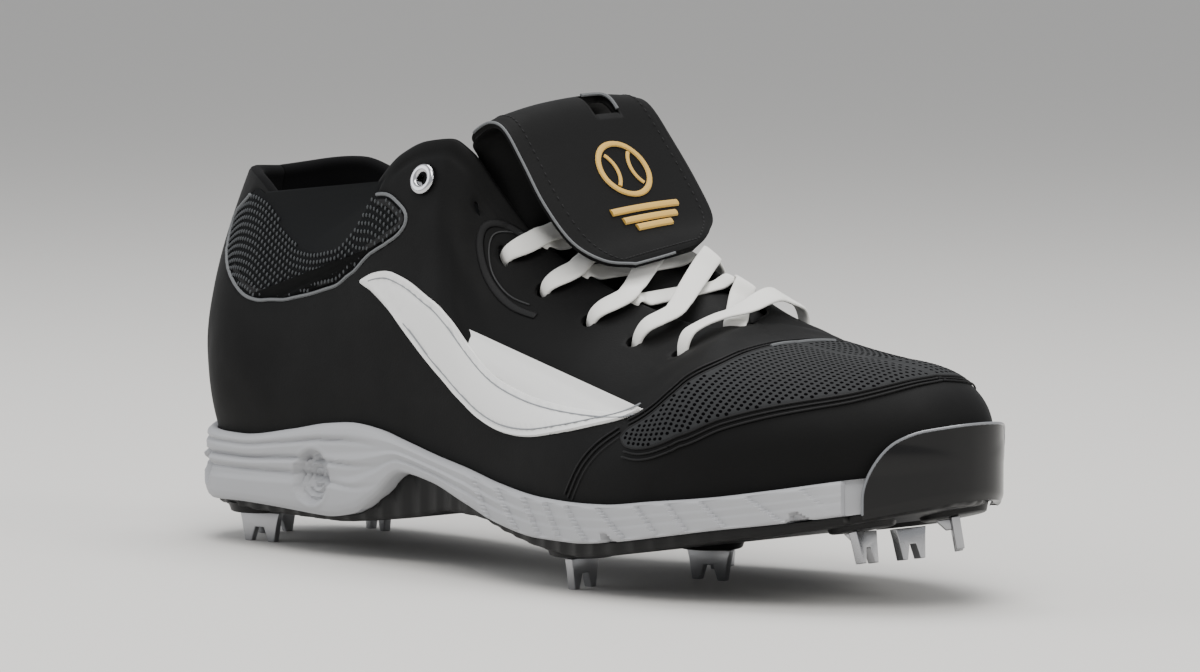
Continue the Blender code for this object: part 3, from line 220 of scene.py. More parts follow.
LEATHER = finish("synthetic_nubuck_black", "#090909", 0.66, sheen=0.015, grain=0.0007, bump=0.35,
                 blotch=0.25, rough_spread=0.06, specular=0.13)
LINING = finish("knit_lining_black", "#0a0a0b", 0.9, sheen=0.02, grain=0.0005, bump=0.5,
                blotch=0.15, specular=0.08)
MESH = finish("mesh_backing_grey", "#262728", 0.75, specular=0.2, grain=0.0006, bump=0.4, blotch=0.1)
MESH_DARK = finish("collar_mesh_backing", "#141516", 0.8, specular=0.1, grain=0.0005, bump=0.4)
CELL = finish("mesh_hole_black", "#050506", 0.95, specular=0.02)
DASH = finish("mesh_rib_grey", "#434547", 0.75, specular=0.2)
THREAD = finish("thread_black", "#0b0b0c", 0.7, grain=0.0003, bump=0.4, specular=0.3)
THREAD_GREY = finish("thread_grey", "#85888c", 0.7)
PIPING = finish("piping_grey", "#5d5f61", 0.6, grain=0.0005, bump=0.3)
DARK_PIPING = finish("piping_charcoal", "#1a1b1c", 0.6, grain=0.0005, bump=0.3)
WHITE = finish("synthetic_white", "#e6e6e4", 0.45, coat=0.1, grain=0.0009, bump=0.15, blotch=0.03)
LACE = finish("woven_lace_white", "#e4e3de", 0.85, sheen=0.1, grain=0.0005, bump=0.55, blotch=0.04)
FOAM = finish("moulded_foam_grey", "#a3a4a7", 0.55, grain=0.0012, bump=0.12, blotch=0.05, rough_spread=0.06)
PLATE = finish("plate_black", "#0d0d0e", 0.42, grain=0.0010, bump=0.15, rough_spread=0.05, specular=0.25)
GLOSS = finish("guard_gloss_black", "#060607", 0.24, coat=0.16, specular=0.24)
GUARD_LINE = finish("guard_edge_grey", "#6d6f73", 0.3, coat=0.4)
STEEL = finish("forged_steel", "#a7a8ab", 0.30, metallic=1.0, grain=0.0016, bump=0.08, rough_spread=0.08)
PLATED = finish("plated_metal", "#c9c9cc", 0.16, metallic=1.0)
GOLD = finish("embroidery_gold", "#c8a04a", 0.5, sheen=0.05, grain=0.0004, bump=0.6)
BOARD = finish("insole_knit_black", "#1c1d1f", 0.9, sheen=0.2, grain=0.0006, bump=0.5)
FLOOR = finish("floor_pale", "#d8d6d2", 0.8)
print("finishes", len(bpy.data.materials))

# %% [markdown]
# ## Mesh helpers
# `add_piece` makes an object in the frame. `thicken` turns a sheet into a closed wall whose
# free edges are rounded. `tube` sweeps a small round section along a line.

# %%
def add_piece(name, points, faces, material, stands_for=(), sharp=40):
    mesh = bpy.data.meshes.new(name)
    mesh.from_pydata((np.asarray(points) + SHIFT).tolist(), [], [tuple(int(i) for i in f) for f in faces])
    mesh.shade_smooth()
    if sharp:
        mesh.set_sharp_from_angle(angle=math.radians(sharp))
    mesh.materials.append(material)
    made = bpy.data.objects.new(name, mesh)
    bpy.context.scene.collection.objects.link(made)
    if stands_for:
        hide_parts(*stands_for)
    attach(made, "root")
    print(name, len(mesh.polygons), "faces")
    return made


def grid_faces(rows, columns, closed=False):
    """Quads of a grid whose points are stored row by row."""
    r = np.arange(rows - 1)[:, None]
    c = np.arange(columns if closed else columns - 1)[None, :]
    n = (c + 1) % columns
    a = r * columns
    quads = np.stack([a + c, a + n, a + columns + n, a + columns + c], -1)
    return quads.reshape(-1, 4)


def thicken(points, normals, faces, up, down, bulge, steps=4):
    """Closed wall from a sheet; bulge is how far a free edge is rounded out, per point."""
    count = len(points)
    outer = points + normals * np.asarray(up).reshape(-1, 1)
    inner = points - normals * np.asarray(down).reshape(-1, 1)
    directed = np.vstack([np.stack([np.asarray(f), np.roll(f, -1)], -1) for f in faces])
    code = directed[:, 0].astype(np.int64) * count + directed[:, 1]
    back_code = directed[:, 1].astype(np.int64) * count + directed[:, 0]
    free = directed[~np.isin(code, back_code)]
    push = np.zeros((count, 3))
    for a, b in free:
        out = np.cross(points[b] - points[a], normals[a] + normals[b])
        out /= max(np.linalg.norm(out), 1e-12)
        push[a] += out
        push[b] += out
    edge = np.unique(free)
    push[edge] /= np.maximum(np.linalg.norm(push[edge], axis=1, keepdims=True), 1e-9)
    bulge = np.broadcast_to(np.asarray(bulge, float), (count,))
    index = {int(v): k for k, v in enumerate(edge)}
    rows = [outer, inner]
    for k in range(1, steps):
        angle = math.pi * k / steps
        middle = 0.5 * (outer[edge] + inner[edge])
        rows.append(middle + (outer[edge] - middle) * math.cos(angle)
                    + push[edge] * (bulge[edge] * math.sin(angle))[:, None])

    def at(v, k):
        if k == 0:
            return v
        if k == steps:
            return count + v
        return 2 * count + (k - 1) * len(edge) + index[int(v)]

    every = [tuple(f) for f in faces] + [tuple(count + i for i in f[::-1]) for f in faces]
    for a, b in free:
        for k in range(steps):
            every.append((at(b, k), at(a, k), at(a, k + 1), at(b, k + 1)))
    return np.vstack(rows), every


def tube(line, ups, radius, closed=False, sides=6, flat=1.0):
    """Points and faces of a tube along a line; ups are the directions away from the surface."""
    line = np.asarray(line)
    if closed:
        ahead = np.roll(line, -1, axis=0) - np.roll(line, 1, axis=0)
    else:
        ahead = np.gradient(line, axis=0)
    ahead /= np.maximum(np.linalg.norm(ahead, axis=1, keepdims=True), 1e-12)
    wide = np.cross(ups, ahead)
    wide /= np.maximum(np.linalg.norm(wide, axis=1, keepdims=True), 1e-12)
    thick = np.cross(ahead, wide)
    turn = 2 * np.pi * np.arange(sides) / sides
    ring = (line[:, None] + radius * (np.cos(turn)[None, :, None] * wide[:, None]
                                      + flat * np.sin(turn)[None, :, None] * thick[:, None]))
    points = ring.reshape(-1, 3)
    count = len(line)
    faces = []
    for k in range(count if closed else count - 1):
        n = (k + 1) % count
        for j in range(sides):
            m = (j + 1) % sides
            faces.append((k * sides + j, k * sides + m, n * sides + m, n * sides + j)[::-1])
    if not closed:
        faces.append(tuple(range(sides)))
        faces.append(tuple(range((count - 1) * sides, count * sides))[::-1])
    return points, faces


def joined(parts):
    """Several (points, faces) pairs as one."""
    points = []
    faces = []
    start = 0
    for p, f in parts:
        points.append(np.asarray(p))
        faces += [tuple(int(i) + start for i in face) for face in f]
        start += len(p)
    return np.vstack(points), faces


def evenly(line, pitch):
    """A line resampled in even steps, measured over all the columns it is given."""
    line = np.asarray(line)
    run = np.concatenate([[0], np.cumsum(np.linalg.norm(np.diff(line, axis=0), axis=1))])
    t = np.linspace(0, run[-1], max(2, int(round(run[-1] / pitch)) + 1))
    return np.stack([np.interp(t, run, line[:, k]) for k in range(line.shape[1])], -1)


print("helpers ready")

# %% [markdown]
# ## Shape tables
# The driving sizes and tables of the CAD source that the looks need. Each column is a share of
# a named size.

# %%
# Driving sizes in metres
LENGTH = 0.300
BALL_WIDTH = 0.104
SOLE_HEIGHT = 0.030
UPPER_HEIGHT = 0.1245
SPIKE_LENGTH = 0.0090
BOSS_HEIGHT = 0.0013
BOSS_RADIUS = 0.0095
GAP = 0.0003
LIP = 0.0026
WALL = 0.0022
COLLAR_PAD = 0.0038
PANEL_STEP = 0.0008
PLATE_INSET = 0.0030
GUARD_WALL = 0.0022
GUARD_HEIGHT = 0.0215
TONGUE_THICKNESS = 0.0040
EYELET_RADIUS = 0.0023
GROMMET_RADIUS = 0.0036
GROMMET_BORE = 0.0020
# How far the rolled flange reaches past the barrel
GROMMET_FLANGE = 0.0010
PUNCH_RADIUS = 0.0012
LACE_WIDTH = 0.0068
LACE_THICKNESS = 0.0013
DIMPLE_RADIUS = 0.0062

# Plate bottom above the ground where the shoe stands
CLEARANCE = SPIKE_LENGTH + GAP + BOSS_HEIGHT


# Outline of the sole seen from above, lateral side first, then back along the medial side
OUTLINE = (
    # along / LENGTH, across / BALL_WIDTH
    (0.000, 0.000),
    (0.015, -0.195),
    (0.074, -0.340),
    (0.200, -0.372),
    (0.330, -0.385),
    (0.460, -0.420),
    (0.580, -0.478),
    (0.680, -0.502),
    (0.780, -0.470),
    (0.870, -0.365),
    (0.945, -0.205),
    (0.988, -0.060),
    (1.000, 0.060),
    (0.985, 0.200),
    (0.930, 0.345),
    (0.850, 0.455),
    (0.760, 0.498),
    (0.670, 0.465),
    (0.560, 0.385),
    (0.440, 0.305),
    (0.320, 0.285),
    (0.200, 0.315),
    (0.090, 0.300),
    (0.024, 0.175),
)
TOE_ROW = 12

# Heights of the sole above the plate's low line, as shares of SOLE_HEIGHT
SOLE_LINES = (
    # along, wall top, midsole bottom, plate bottom, floor
    (0.000, 0.83, 0.17, 0.10, 0.65),
    (0.050, 0.78, 0.08, 0.03, 0.63),
    (0.120, 0.77, 0.10, 0.01, 0.63),
    (0.200, 0.87, 0.08, 0.00, 0.63),
    (0.260, 0.97, 0.06, 0.00, 0.65),
    (0.300, 1.00, 0.12, 0.03, 0.67),
    (0.335, 0.97, 0.30, 0.07, 0.68),
    (0.380, 0.88, 0.58, 0.13, 0.70),
    (0.430, 0.78, 0.52, 0.22, 0.64),
    (0.480, 0.70, 0.38, 0.22, 0.54),
    (0.540, 0.60, 0.23, 0.13, 0.43),
    (0.610, 0.53, 0.15, 0.03, 0.33),
    (0.660, 0.52, 0.15, 0.00, 0.30),
    (0.700, 0.53, 0.18, 0.05, 0.32),
    (0.760, 0.60, 0.27, 0.15, 0.39),
    (0.820, 0.67, 0.37, 0.26, 0.48),
    (0.880, 0.77, 0.46, 0.36, 0.59),
    (0.940, 0.88, 0.57, 0.50, 0.70),
    (1.000, 0.95, 0.72, 0.66, 0.79),
)

# Top edge of the upper's outer face. The row's first value is the share of the half
# perimeter from the heel to the toe. Past ZIP both sides meet on the vamp's ridge.
ZIP = 0.75
RIM = (
    # share, along / LENGTH, lateral across / BALL_WIDTH, height / UPPER_HEIGHT,
    # centre / BALL_WIDTH, medial rise / UPPER_HEIGHT, lean in degrees
    (0.000, 0.028, 0.000, 0.896, 0.000, 0.000, 64),
    (0.060, 0.044, -0.130, 0.900, 0.000, 0.008, 68),
    (0.120, 0.086, -0.218, 0.882, 0.000, 0.032, 74),
    (0.150, 0.116, -0.245, 0.848, 0.002, 0.040, 78),
    (0.180, 0.147, -0.265, 0.790, 0.005, 0.045, 80),
    (0.215, 0.180, -0.285, 0.740, 0.008, 0.040, 83),
    (0.250, 0.212, -0.298, 0.726, 0.011, 0.032, 84),
    (0.290, 0.243, -0.305, 0.733, 0.015, 0.028, 85),
    (0.325, 0.272, -0.303, 0.782, 0.020, 0.026, 84),
    (0.355, 0.302, -0.295, 0.880, 0.025, 0.022, 82),
    (0.385, 0.333, -0.280, 0.955, 0.030, 0.020, 78),
    (0.420, 0.366, -0.262, 0.992, 0.035, 0.020, 72),
    (0.450, 0.392, -0.240, 1.000, 0.040, 0.020, 66),
    (0.475, 0.412, -0.215, 0.970, 0.044, 0.025, 62),
    (0.500, 0.436, -0.185, 0.892, 0.048, 0.032, 58),
    (0.540, 0.477, -0.150, 0.783, 0.052, 0.044, 50),
    (0.580, 0.523, -0.128, 0.717, 0.054, 0.052, 44),
    (0.620, 0.570, -0.112, 0.668, 0.056, 0.056, 40),
    (0.660, 0.620, -0.096, 0.629, 0.058, 0.056, 36),
    (0.695, 0.665, -0.080, 0.602, 0.060, 0.052, 30),
    (0.720, 0.693, -0.048, 0.594, 0.062, 0.036, 18),
    (0.738, 0.706, 0.012, 0.599, 0.064, 0.014, 6),
    (0.750, 0.710, 0.064, 0.599, 0.064, 0.000, 0),
    (0.780, 0.728, 0.066, 0.581, 0.066, 0.000, 0),
    (0.820, 0.760, 0.068, 0.562, 0.068, 0.000, 0),
    (0.860, 0.792, 0.070, 0.550, 0.070, 0.000, 0),
    (0.910, 0.826, 0.072, 0.542, 0.072, 0.000, 0),
    (0.960, 0.850, 0.074, 0.541, 0.074, 0.000, 0),
    (1.000, 0.862, 0.074, 0.535, 0.074, 0.000, 0),
)

# How far the wall swells between the sole and its top edge
SWELL = (
    # share, outward angle at the sole in degrees, lower handle, upper handle
    (0.000, 17, 0.42, 0.30),
    (0.150, 15, 0.40, 0.30),
    (0.300, 5, 0.32, 0.30),
    (0.450, 2, 0.28, 0.34),
    (0.550, 5, 0.30, 0.42),
    (0.650, 9, 0.34, 0.46),
    (0.750, 12, 0.40, 0.52),
    (0.870, 9, 0.44, 0.56),
    (1.000, 3, 0.46, 0.58),
)

# Spikes: name, along / LENGTH, across / BALL_WIDTH, turn about Z in degrees
SPIKES = (
    ("spike_heel_lateral", 0.102, -0.235, 12),
    ("spike_heel_medial", 0.102, 0.215, -12),
    ("spike_heel_back", 0.045, -0.045, 80),
    ("spike_ball_lateral", 0.617, -0.340, 105),
    ("spike_ball_centre", 0.652, 0.050, 12),
    ("spike_ball_medial", 0.585, 0.285, -70),
    ("spike_toe_lateral", 0.893, -0.060, 112),
    ("spike_toe_medial", 0.842, 0.265, 100),
    ("spike_toe_front", 0.932, 0.175, 137),
)


def named(table, column):
    """One column of a table against its first column."""
    rows = np.array([[float(value) for value in row] for row in table])
    return rows[:, 0], rows[:, column]


def follow(table, column, share):
    """Smooth monotone curve through one column of a table."""
    x, y = named(table, column)
    share = np.clip(np.asarray(share, float), x[0], x[-1])
    step = np.diff(x)
    rise = np.diff(y) / step
    slope = np.zeros(len(x))
    slope[0] = rise[0]
    slope[-1] = rise[-1]
    for i in range(1, len(x) - 1):
        if rise[i - 1] * rise[i] > 0:
            w1 = 2 * step[i] + step[i - 1]
            w2 = step[i] + 2 * step[i - 1]
            slope[i] = (w1 + w2) / (w1 / rise[i - 1] + w2 / rise[i])
    k = np.clip(np.searchsorted(x, share, side="right") - 1, 0, len(x) - 2)
    t = (share - x[k]) / step[k]
    h00 = 2 * t ** 3 - 3 * t ** 2 + 1
    h10 = t ** 3 - 2 * t ** 2 + t
    h01 = 3 * t ** 2 - 2 * t ** 3
    h11 = t ** 3 - t ** 2
    return h00 * y[k] + h10 * step[k] * slope[k] + h01 * y[k + 1] + h11 * step[k] * slope[k + 1]


print("outline points", len(OUTLINE), "rim rows", len(RIM))

# %% [markdown]
# ## Outline and wall
# `upper_point` gives any place of the wall from the side, the share of the perimeter and the
# height share v, and `wall_frame` adds the outward normal. `flat_place` is the flattened pattern in
# metres, so that stitches and mesh keep their real pitch.

# %%
def curve_point(a, b, c, d, t):
    """Place at a share t between b and c, on a rounded line through four places."""
    return 0.5 * (2 * b + (c - a) * t + (2 * a - 5 * b + 4 * c - d) * t * t
                  + (3 * b - a - 3 * c + d) * t ** 3)


def dense_outline():
    """The closed outline as many short steps, split at the toe into two halves."""
    points = np.array(OUTLINE) * np.array([LENGTH, BALL_WIDTH])
    count = len(points)
    splits = 40
    line = []
    for i in range(count):
        a, b, c, d = (points[(i + k) % count] for k in (-1, 0, 1, 2))
        for j in range(splits):
            line.append(curve_point(a, b, c, d, j / splits))
    line = np.array(line)
    lateral = line[:TOE_ROW * splits + 1]
    medial = np.vstack([line[TOE_ROW * splits:], line[:1]])[::-1]
    return lateral, medial


LATERAL_LINE, MEDIAL_LINE = dense_outline()


def outline_at(side, share):
    """Point and outward normal of the sole's outline; side -1 is lateral, +1 medial."""
    line = LATERAL_LINE if side < 0 else MEDIAL_LINE
    run = np.concatenate([[0], np.cumsum(np.hypot(*np.diff(line, axis=0).T))])
    run /= run[-1]
    share = np.asarray(share, float)
    point = np.stack([np.interp(share, run, line[:, k]) for k in (0, 1)], -1)
    spread = 0.012
    ahead = np.stack([np.interp(share + spread, run, line[:, k]) for k in (0, 1)], -1)
    behind = np.stack([np.interp(share - spread, run, line[:, k]) for k in (0, 1)], -1)
    along = ahead - behind
    along /= np.linalg.norm(along, axis=-1, keepdims=True)
    normal = np.stack([along[..., 1], -along[..., 0]], -1) * (-side)
    ends = (share < spread) | (share > 1 - spread)
    square = np.where(share < 0.5, -1.0, 1.0)
    flat = np.stack([square, np.zeros_like(square)], -1)
    blend = np.clip(np.minimum(share, 1 - share) / spread, 0, 1)[..., None]
    normal = np.where(ends[..., None], flat * (1 - blend) + normal * blend, normal)
    normal /= np.linalg.norm(normal, axis=-1, keepdims=True)
    return point, normal


def sole_z(column, x):
    """Height of a line of the sole at a place along the shoe."""
    return CLEARANCE + SOLE_HEIGHT * follow(SOLE_LINES, column, x / LENGTH)


def wall_top(x):
    return sole_z(1, x)


def midsole_bottom(x):
    return sole_z(2, x)


def plate_bottom(x):
    return sole_z(3, x)


def floor(x):
    return sole_z(4, x)


def rim(side, share):
    """Top end of the upper's outer face, and its lean in radians."""
    x = LENGTH * follow(RIM, 1, share)
    y = BALL_WIDTH * follow(RIM, 2, share)
    z = UPPER_HEIGHT * follow(RIM, 3, share)
    centre = BALL_WIDTH * follow(RIM, 4, share)
    if side > 0:
        y = 2 * centre - y
        z = z + UPPER_HEIGHT * follow(RIM, 5, share)
    return np.stack([x, y, z], -1), np.radians(follow(RIM, 6, share))


def upper_point(side, share, v):
    """Outer face of the upper: v is 0 at the sole's lip and 1 at the top edge.

    Below zero the wall goes straight down inside the lip, in metres per unit of v.
    """
    share = np.asarray(share, float)
    v = np.asarray(v, float)
    foot, normal = outline_at(side, share)
    base_xy = foot - normal * (LIP + GAP)
    base = np.concatenate([base_xy, wall_top(foot[..., 0])[..., None]], -1)
    top, lean = rim(side, share)
    reach = np.linalg.norm(top - base, axis=-1)[..., None]
    outward = np.concatenate([normal, np.zeros(normal.shape[:-1] + (1,))], -1)
    up = np.zeros_like(base)
    up[..., 2] = 1
    swell = np.radians(follow(SWELL, 1, share))[..., None]
    low = base + reach * follow(SWELL, 2, share)[..., None] * (outward * np.sin(swell) + up * np.cos(swell))
    lean = lean[..., None]
    high = top - reach * follow(SWELL, 3, share)[..., None] * (up * np.sin(lean) - outward * np.cos(lean))
    w = np.clip(v, 0, 1)[..., None]
    point = ((1 - w) ** 3 * base + 3 * (1 - w) ** 2 * w * low
             + 3 * (1 - w) * w ** 2 * high + w ** 3 * top)
    depth = wall_top(foot[..., 0]) - floor(foot[..., 0]) - GAP
    point = point + np.where(v < 0, v * depth, 0)[..., None] * up
    return point


def wall_frame(side, share, v):
    """Points of the upper's outer face and their outward normals."""
    share = np.asarray(share, float)
    v = np.asarray(v, float)
    here = upper_point(side, share, v)
    ds = (upper_point(side, np.clip(share + 1e-3, 0, 1), v)
          - upper_point(side, np.clip(share - 1e-3, 0, 1), v))
    dv = (upper_point(side, share, np.minimum(v + 1e-3, 1))
          - upper_point(side, share, np.maximum(v - 1e-3, 0)))
    normal = np.cross(ds, dv) * (-side)
    normal /= np.maximum(np.linalg.norm(normal, axis=-1, keepdims=True), 1e-15)
    return here, normal


def wall_lengths(side):
    v = np.linspace(0, 1, 25)
    shares = np.linspace(0, 1, 121)
    s, w = np.meshgrid(shares, v, indexing="ij")
    points = upper_point(side, s.ravel(), w.ravel()).reshape(121, 25, 3)
    return shares, np.linalg.norm(np.diff(points, axis=1), axis=2).sum(axis=1)


WALL_LENGTHS = {side: wall_lengths(side) for side in (-1, 1)}


def wall_length(side, share):
    return np.interp(share, *WALL_LENGTHS[side])


def flat_place(side, share, v):
    """Places on the flattened pattern, in metres."""
    share = np.asarray(share, float)
    foot, normal = outline_at(side, share)
    base_xy = foot - normal * (LIP + GAP)
    top, _ = rim(side, share)
    along = np.stack([-normal[..., 1], normal[..., 0]], -1)
    skew = np.sum((base_xy - top[..., :2]) * along, axis=-1, keepdims=True)
    reach = np.asarray(wall_length(side, share))[..., None]
    return top[..., :2] + (1 - np.asarray(v, float))[..., None] * (normal * reach + along * skew)


def from_flat(side, share, v, offset):
    """Share and v of a place at an offset in metres on the pattern, by Newton's steps."""
    target = flat_place(side, share, v) + offset
    guess = np.stack(np.broadcast_arrays(share, v), -1).astype(float)
    for _ in range(4):
        here = flat_place(side, guess[..., 0], guess[..., 1])
        ds = (flat_place(side, guess[..., 0] + 1e-4, guess[..., 1]) - here) / 1e-4
        dv = (flat_place(side, guess[..., 0], guess[..., 1] + 1e-4) - here) / 1e-4
        matrix = np.stack([ds, dv], -1)
        guess = guess + np.linalg.solve(matrix, (target - here)[..., None])[..., 0]
    return guess[..., 0], guess[..., 1]


def loop_distance(points, loop):
    """Distance of each point to a closed line, positive inside."""
    points = np.asarray(points)
    loop = np.asarray(loop)
    best = np.full(len(points), 1e9)
    inside = np.zeros(len(points), bool)
    for a, b in zip(loop, np.roll(loop, -1, axis=0)):
        ab = b - a
        t = np.clip(((points - a) @ ab) / max(ab @ ab, 1e-18), 0, 1)
        best = np.minimum(best, np.linalg.norm(points - (a + t[:, None] * ab), axis=1))
        crosses = (a[1] > points[:, 1]) != (b[1] > points[:, 1])
        with np.errstate(divide="ignore", invalid="ignore"):
            at = (b[0] - a[0]) * (points[:, 1] - a[1]) / (b[1] - a[1]) + a[0]
        inside ^= crosses & (points[:, 0] < at)
    return np.where(inside, best, -best)


def smooth_line(corners, splits, closed=True):
    """A rounded line through given corners."""
    corners = np.array(corners, float)
    count = len(corners)
    out = []
    for i in range(count if closed else count - 1):
        if closed:
            a, b, c, d = (corners[(i + k) % count] for k in (-1, 0, 1, 2))
        else:
            a, b, c, d = (corners[min(max(i + k, 0), count - 1)] for k in (-1, 0, 1, 2))
        for j in range(splits):
            out.append(curve_point(a, b, c, d, j / splits))
    if not closed:
        out.append(corners[-1])
    return np.array(out)


def soft(value):
    """Smooth step from 0 to 1."""
    value = np.clip(value, 0, 1)
    return value * value * (3 - 2 * value)


print("wall length at the ear", round(float(wall_length(-1, 0.43)) * 1000, 1), "mm")

# %% [markdown]
# ## Panel lines, holes and creases
# Every panel is a closed line of (share, v) corners on the wall, and the same lines serve both
# sides. The mesh panels are read off the photo. The side panel is a plain pennant. Creases are
# soft troughs and ridges along short given lines.

# %%
COLLAR_PANEL = (
    (0.158, 1.000), (0.120, 0.930), (0.096, 0.820), (0.104, 0.690), (0.126, 0.600), (0.150, 0.556),
    (0.170, 0.575), (0.200, 0.650), (0.248, 0.735), (0.316, 0.770), (0.372, 0.712), (0.398, 0.730),
    (0.403, 0.775), (0.384, 0.850), (0.358, 0.960), (0.350, 1.000),
)
SIDE_PANEL = (
    (0.337, 0.672), (0.352, 0.650), (0.400, 0.570), (0.455, 0.500), (0.520, 0.455), (0.590, 0.440),
    (0.655, 0.448), (0.703, 0.462), (0.708, 0.452), (0.670, 0.385), (0.625, 0.310), (0.575, 0.245),
    (0.525, 0.215), (0.480, 0.225), (0.435, 0.300), (0.395, 0.400), (0.362, 0.530),
)
VAMP_LOW = ((0.692, 0.315), (0.698, 0.265), (0.716, 0.236), (0.752, 0.236), (0.786, 0.300),
            (0.840, 0.376), (0.896, 0.444), (0.950, 0.540), (1.000, 0.640))
VAMP_HIGH = ((0.692, 0.315), (0.700, 0.360), (0.720, 0.400), (0.752, 0.480), (0.780, 0.620),
             (0.806, 0.824), (0.822, 1.000))
SEAM = ((0.630, 0.010), (0.650, 0.144), (0.670, 0.244), (0.690, 0.318))
EYELETS = (
    ("eyelet_1", 0.527, 0.0105, EYELET_RADIUS),
    ("eyelet_2", 0.570, 0.0100, EYELET_RADIUS),
    ("eyelet_3", 0.622, 0.0105, EYELET_RADIUS),
    ("eyelet_4", 0.668, 0.0108, EYELET_RADIUS),
    ("eyelet_5", 0.714, 0.0130, EYELET_RADIUS),
    ("grommet", 0.426, 0.0112, GROMMET_RADIUS),
    ("punch", 0.494, 0.0090, PUNCH_RADIUS),
)
CREASES = (
    # share and v of both ends, half width, height in metres (below zero is a trough)
    (0.100, 0.30, 0.210, 0.36, 0.0075, -0.00045),
    (0.060, 0.16, 0.190, 0.20, 0.0080, 0.00030),
    (0.430, 0.62, 0.520, 0.55, 0.0080, -0.00040),
    (0.440, 0.72, 0.505, 0.70, 0.0065, 0.00030),
    (0.690, 0.520, 0.752, 0.62, 0.0050, -0.00035),
    (0.700, 0.600, 0.760, 0.74, 0.0045, 0.00030),
    (0.730, 0.060, 0.860, 0.10, 0.0060, -0.00030),
    (0.560, 0.600, 0.640, 0.57, 0.0070, -0.00030),
    (0.880, 0.200, 0.960, 0.26, 0.0070, 0.00025),
)


def hole_centre(side, share, below):
    return share, 1 - below / float(wall_length(side, share))


def relief(side, share, v):
    """Height of the wall over its smooth form: sunk collar, piped throat edge and creases."""
    flat = flat_place(side, share, v)
    height = np.zeros(len(flat))
    loop = flat_place(side, *smooth_line(COLLAR_PANEL, 3).T)
    inside = loop_distance(flat, loop)
    height -= PANEL_STEP * soft((inside + 0.0006) / 0.0012)
    for a, b, c, d, wide, rise in CREASES:
        start = flat_place(side, a, b)
        end = flat_place(side, c, d)
        run = end - start
        t = np.clip(((flat - start) @ run) / (run @ run), 0, 1)
        away = np.linalg.norm(flat - (start + t[:, None] * run), axis=1)
        height += rise * np.exp(-(away / wide) ** 2)
    below = (1 - v) * wall_length(side, share)
    throat = soft((share - 0.37) / 0.02) * soft((0.545 - share) / 0.02)
    height -= 0.00045 * throat * np.exp(-((below - 0.0036) / 0.0008) ** 2)
    patch = flat_place(side, *hole_centre(side, 0.527, 0.0105))
    away = np.linalg.norm(flat - patch, axis=1)
    height += 0.00018 * soft((0.0085 - away) / 0.0012)
    return height


print("creases", len(CREASES), "panels per side", 3)

# %% [markdown]
# ## Upper
# One hollow wall over both sides. The two halves share the line at the heel, the line at the
# toe and the ridge of the vamp. Faces inside each hole are left out, and the points around it
# are moved onto its circle.

# %%
BACK_STEPS = 190
FRONT_STEPS = 62
V_STEPS = 74


def wall_grid():
    """Side, share, v and point index of the whole wall, and its quads."""
    shares = np.concatenate([np.linspace(0, ZIP, BACK_STEPS + 1), np.linspace(ZIP, 1, FRONT_STEPS + 1)[1:]])
    rows = np.concatenate([[-1.0, -0.35], np.linspace(0, 1, V_STEPS + 1)])
    columns = [(-1, s) for s in shares] + [(1, s) for s in shares[::-1][1:-1]]
    index = np.zeros((len(columns), len(rows)), int)
    places = []
    ridge = {}
    for c, (side, share) in enumerate(columns):
        for r, v in enumerate(rows):
            if v == 1.0 and share >= ZIP - 1e-9:
                if share in ridge:
                    index[c, r] = ridge[share]
                    continue
                ridge[share] = len(places)
            index[c, r] = len(places)
            places.append((side, share, v))
    a = index
    b = np.roll(index, -1, axis=0)
    quads = np.stack([a[:, :-1], b[:, :-1], b[:, 1:], a[:, 1:]], -1).reshape(-1, 4)
    return np.array(places), quads


def cut_holes(places, quads):
    """Leave out faces inside each hole and round its edge."""
    side, share, v = places.T
    flat = np.zeros((len(places), 2))
    for value in (-1, 1):
        here = side == value
        flat[here] = flat_place(value, share[here], np.clip(v[here], 0, 1))
    # Each quad is judged on the side of its first corner off the shared lines
    quad_side = side[quads].sum(axis=1)
    middle = flat[quads].mean(axis=1)
    keep = np.ones(len(quads), bool)
    for value in (-1, 1):
        for name, s, below, radius in EYELETS:
            centre = flat_place(value, *hole_centre(value, s, below))
            near = np.linalg.norm(middle - centre, axis=1) < radius
            cut = near & (quad_side * value > 2)
            keep &= ~cut
            points = np.unique(quads[cut])
            stay = np.unique(quads[keep])
            border = points[np.isin(points, stay)]
            if not len(border):
                continue
            out = flat[border] - centre
            aim = centre + out * (radius / np.linalg.norm(out, axis=1))[:, None]
            new_s, new_v = from_flat(value, share[border], v[border], aim - flat[border])
            places[border, 1] = new_s
            places[border, 2] = new_v
    return quads[keep]


places, quads = wall_grid()
quads = cut_holes(places, quads)
used = np.unique(quads)
renumber = np.full(len(places), -1)
renumber[used] = np.arange(len(used))
places = places[used]
quads = renumber[quads]
points = np.zeros((len(places), 3))
normals = np.zeros((len(places), 3))
height = np.zeros(len(places))
for side in (-1, 1):
    here = places[:, 0] == side
    share, v = places[here, 1], places[here, 2]
    _, square = wall_frame(side, share, np.clip(v, 0, 1))
    points[here] = upper_point(side, share, v)
    normals[here] = square
    height[here] = relief(side, share, np.clip(v, 0, 1))
share, v = places[:, 1], places[:, 2]
pad = COLLAR_PAD * soft((0.44 - share) / 0.08) * soft((v - 0.55) / 0.25)
pad *= 1 - 0.35 * soft((v - 0.88) / 0.12)
inner = WALL + pad
height = np.where(v < 0, 0, height)
bulge = np.where(v > 0.9999, 0.0010 + 0.42 * pad, 0.0002)
shape, faces = thicken(points, normals, quads.tolist(), height, inner, bulge, steps=6)
upper = add_piece("upper_wall", shape, faces, LEATHER, ("upper",), sharp=0)

# %% [markdown]
# The lining is a second finish on the same wall: its inner faces and the rolled collar take the
# knit, the outer faces keep the nubuck.

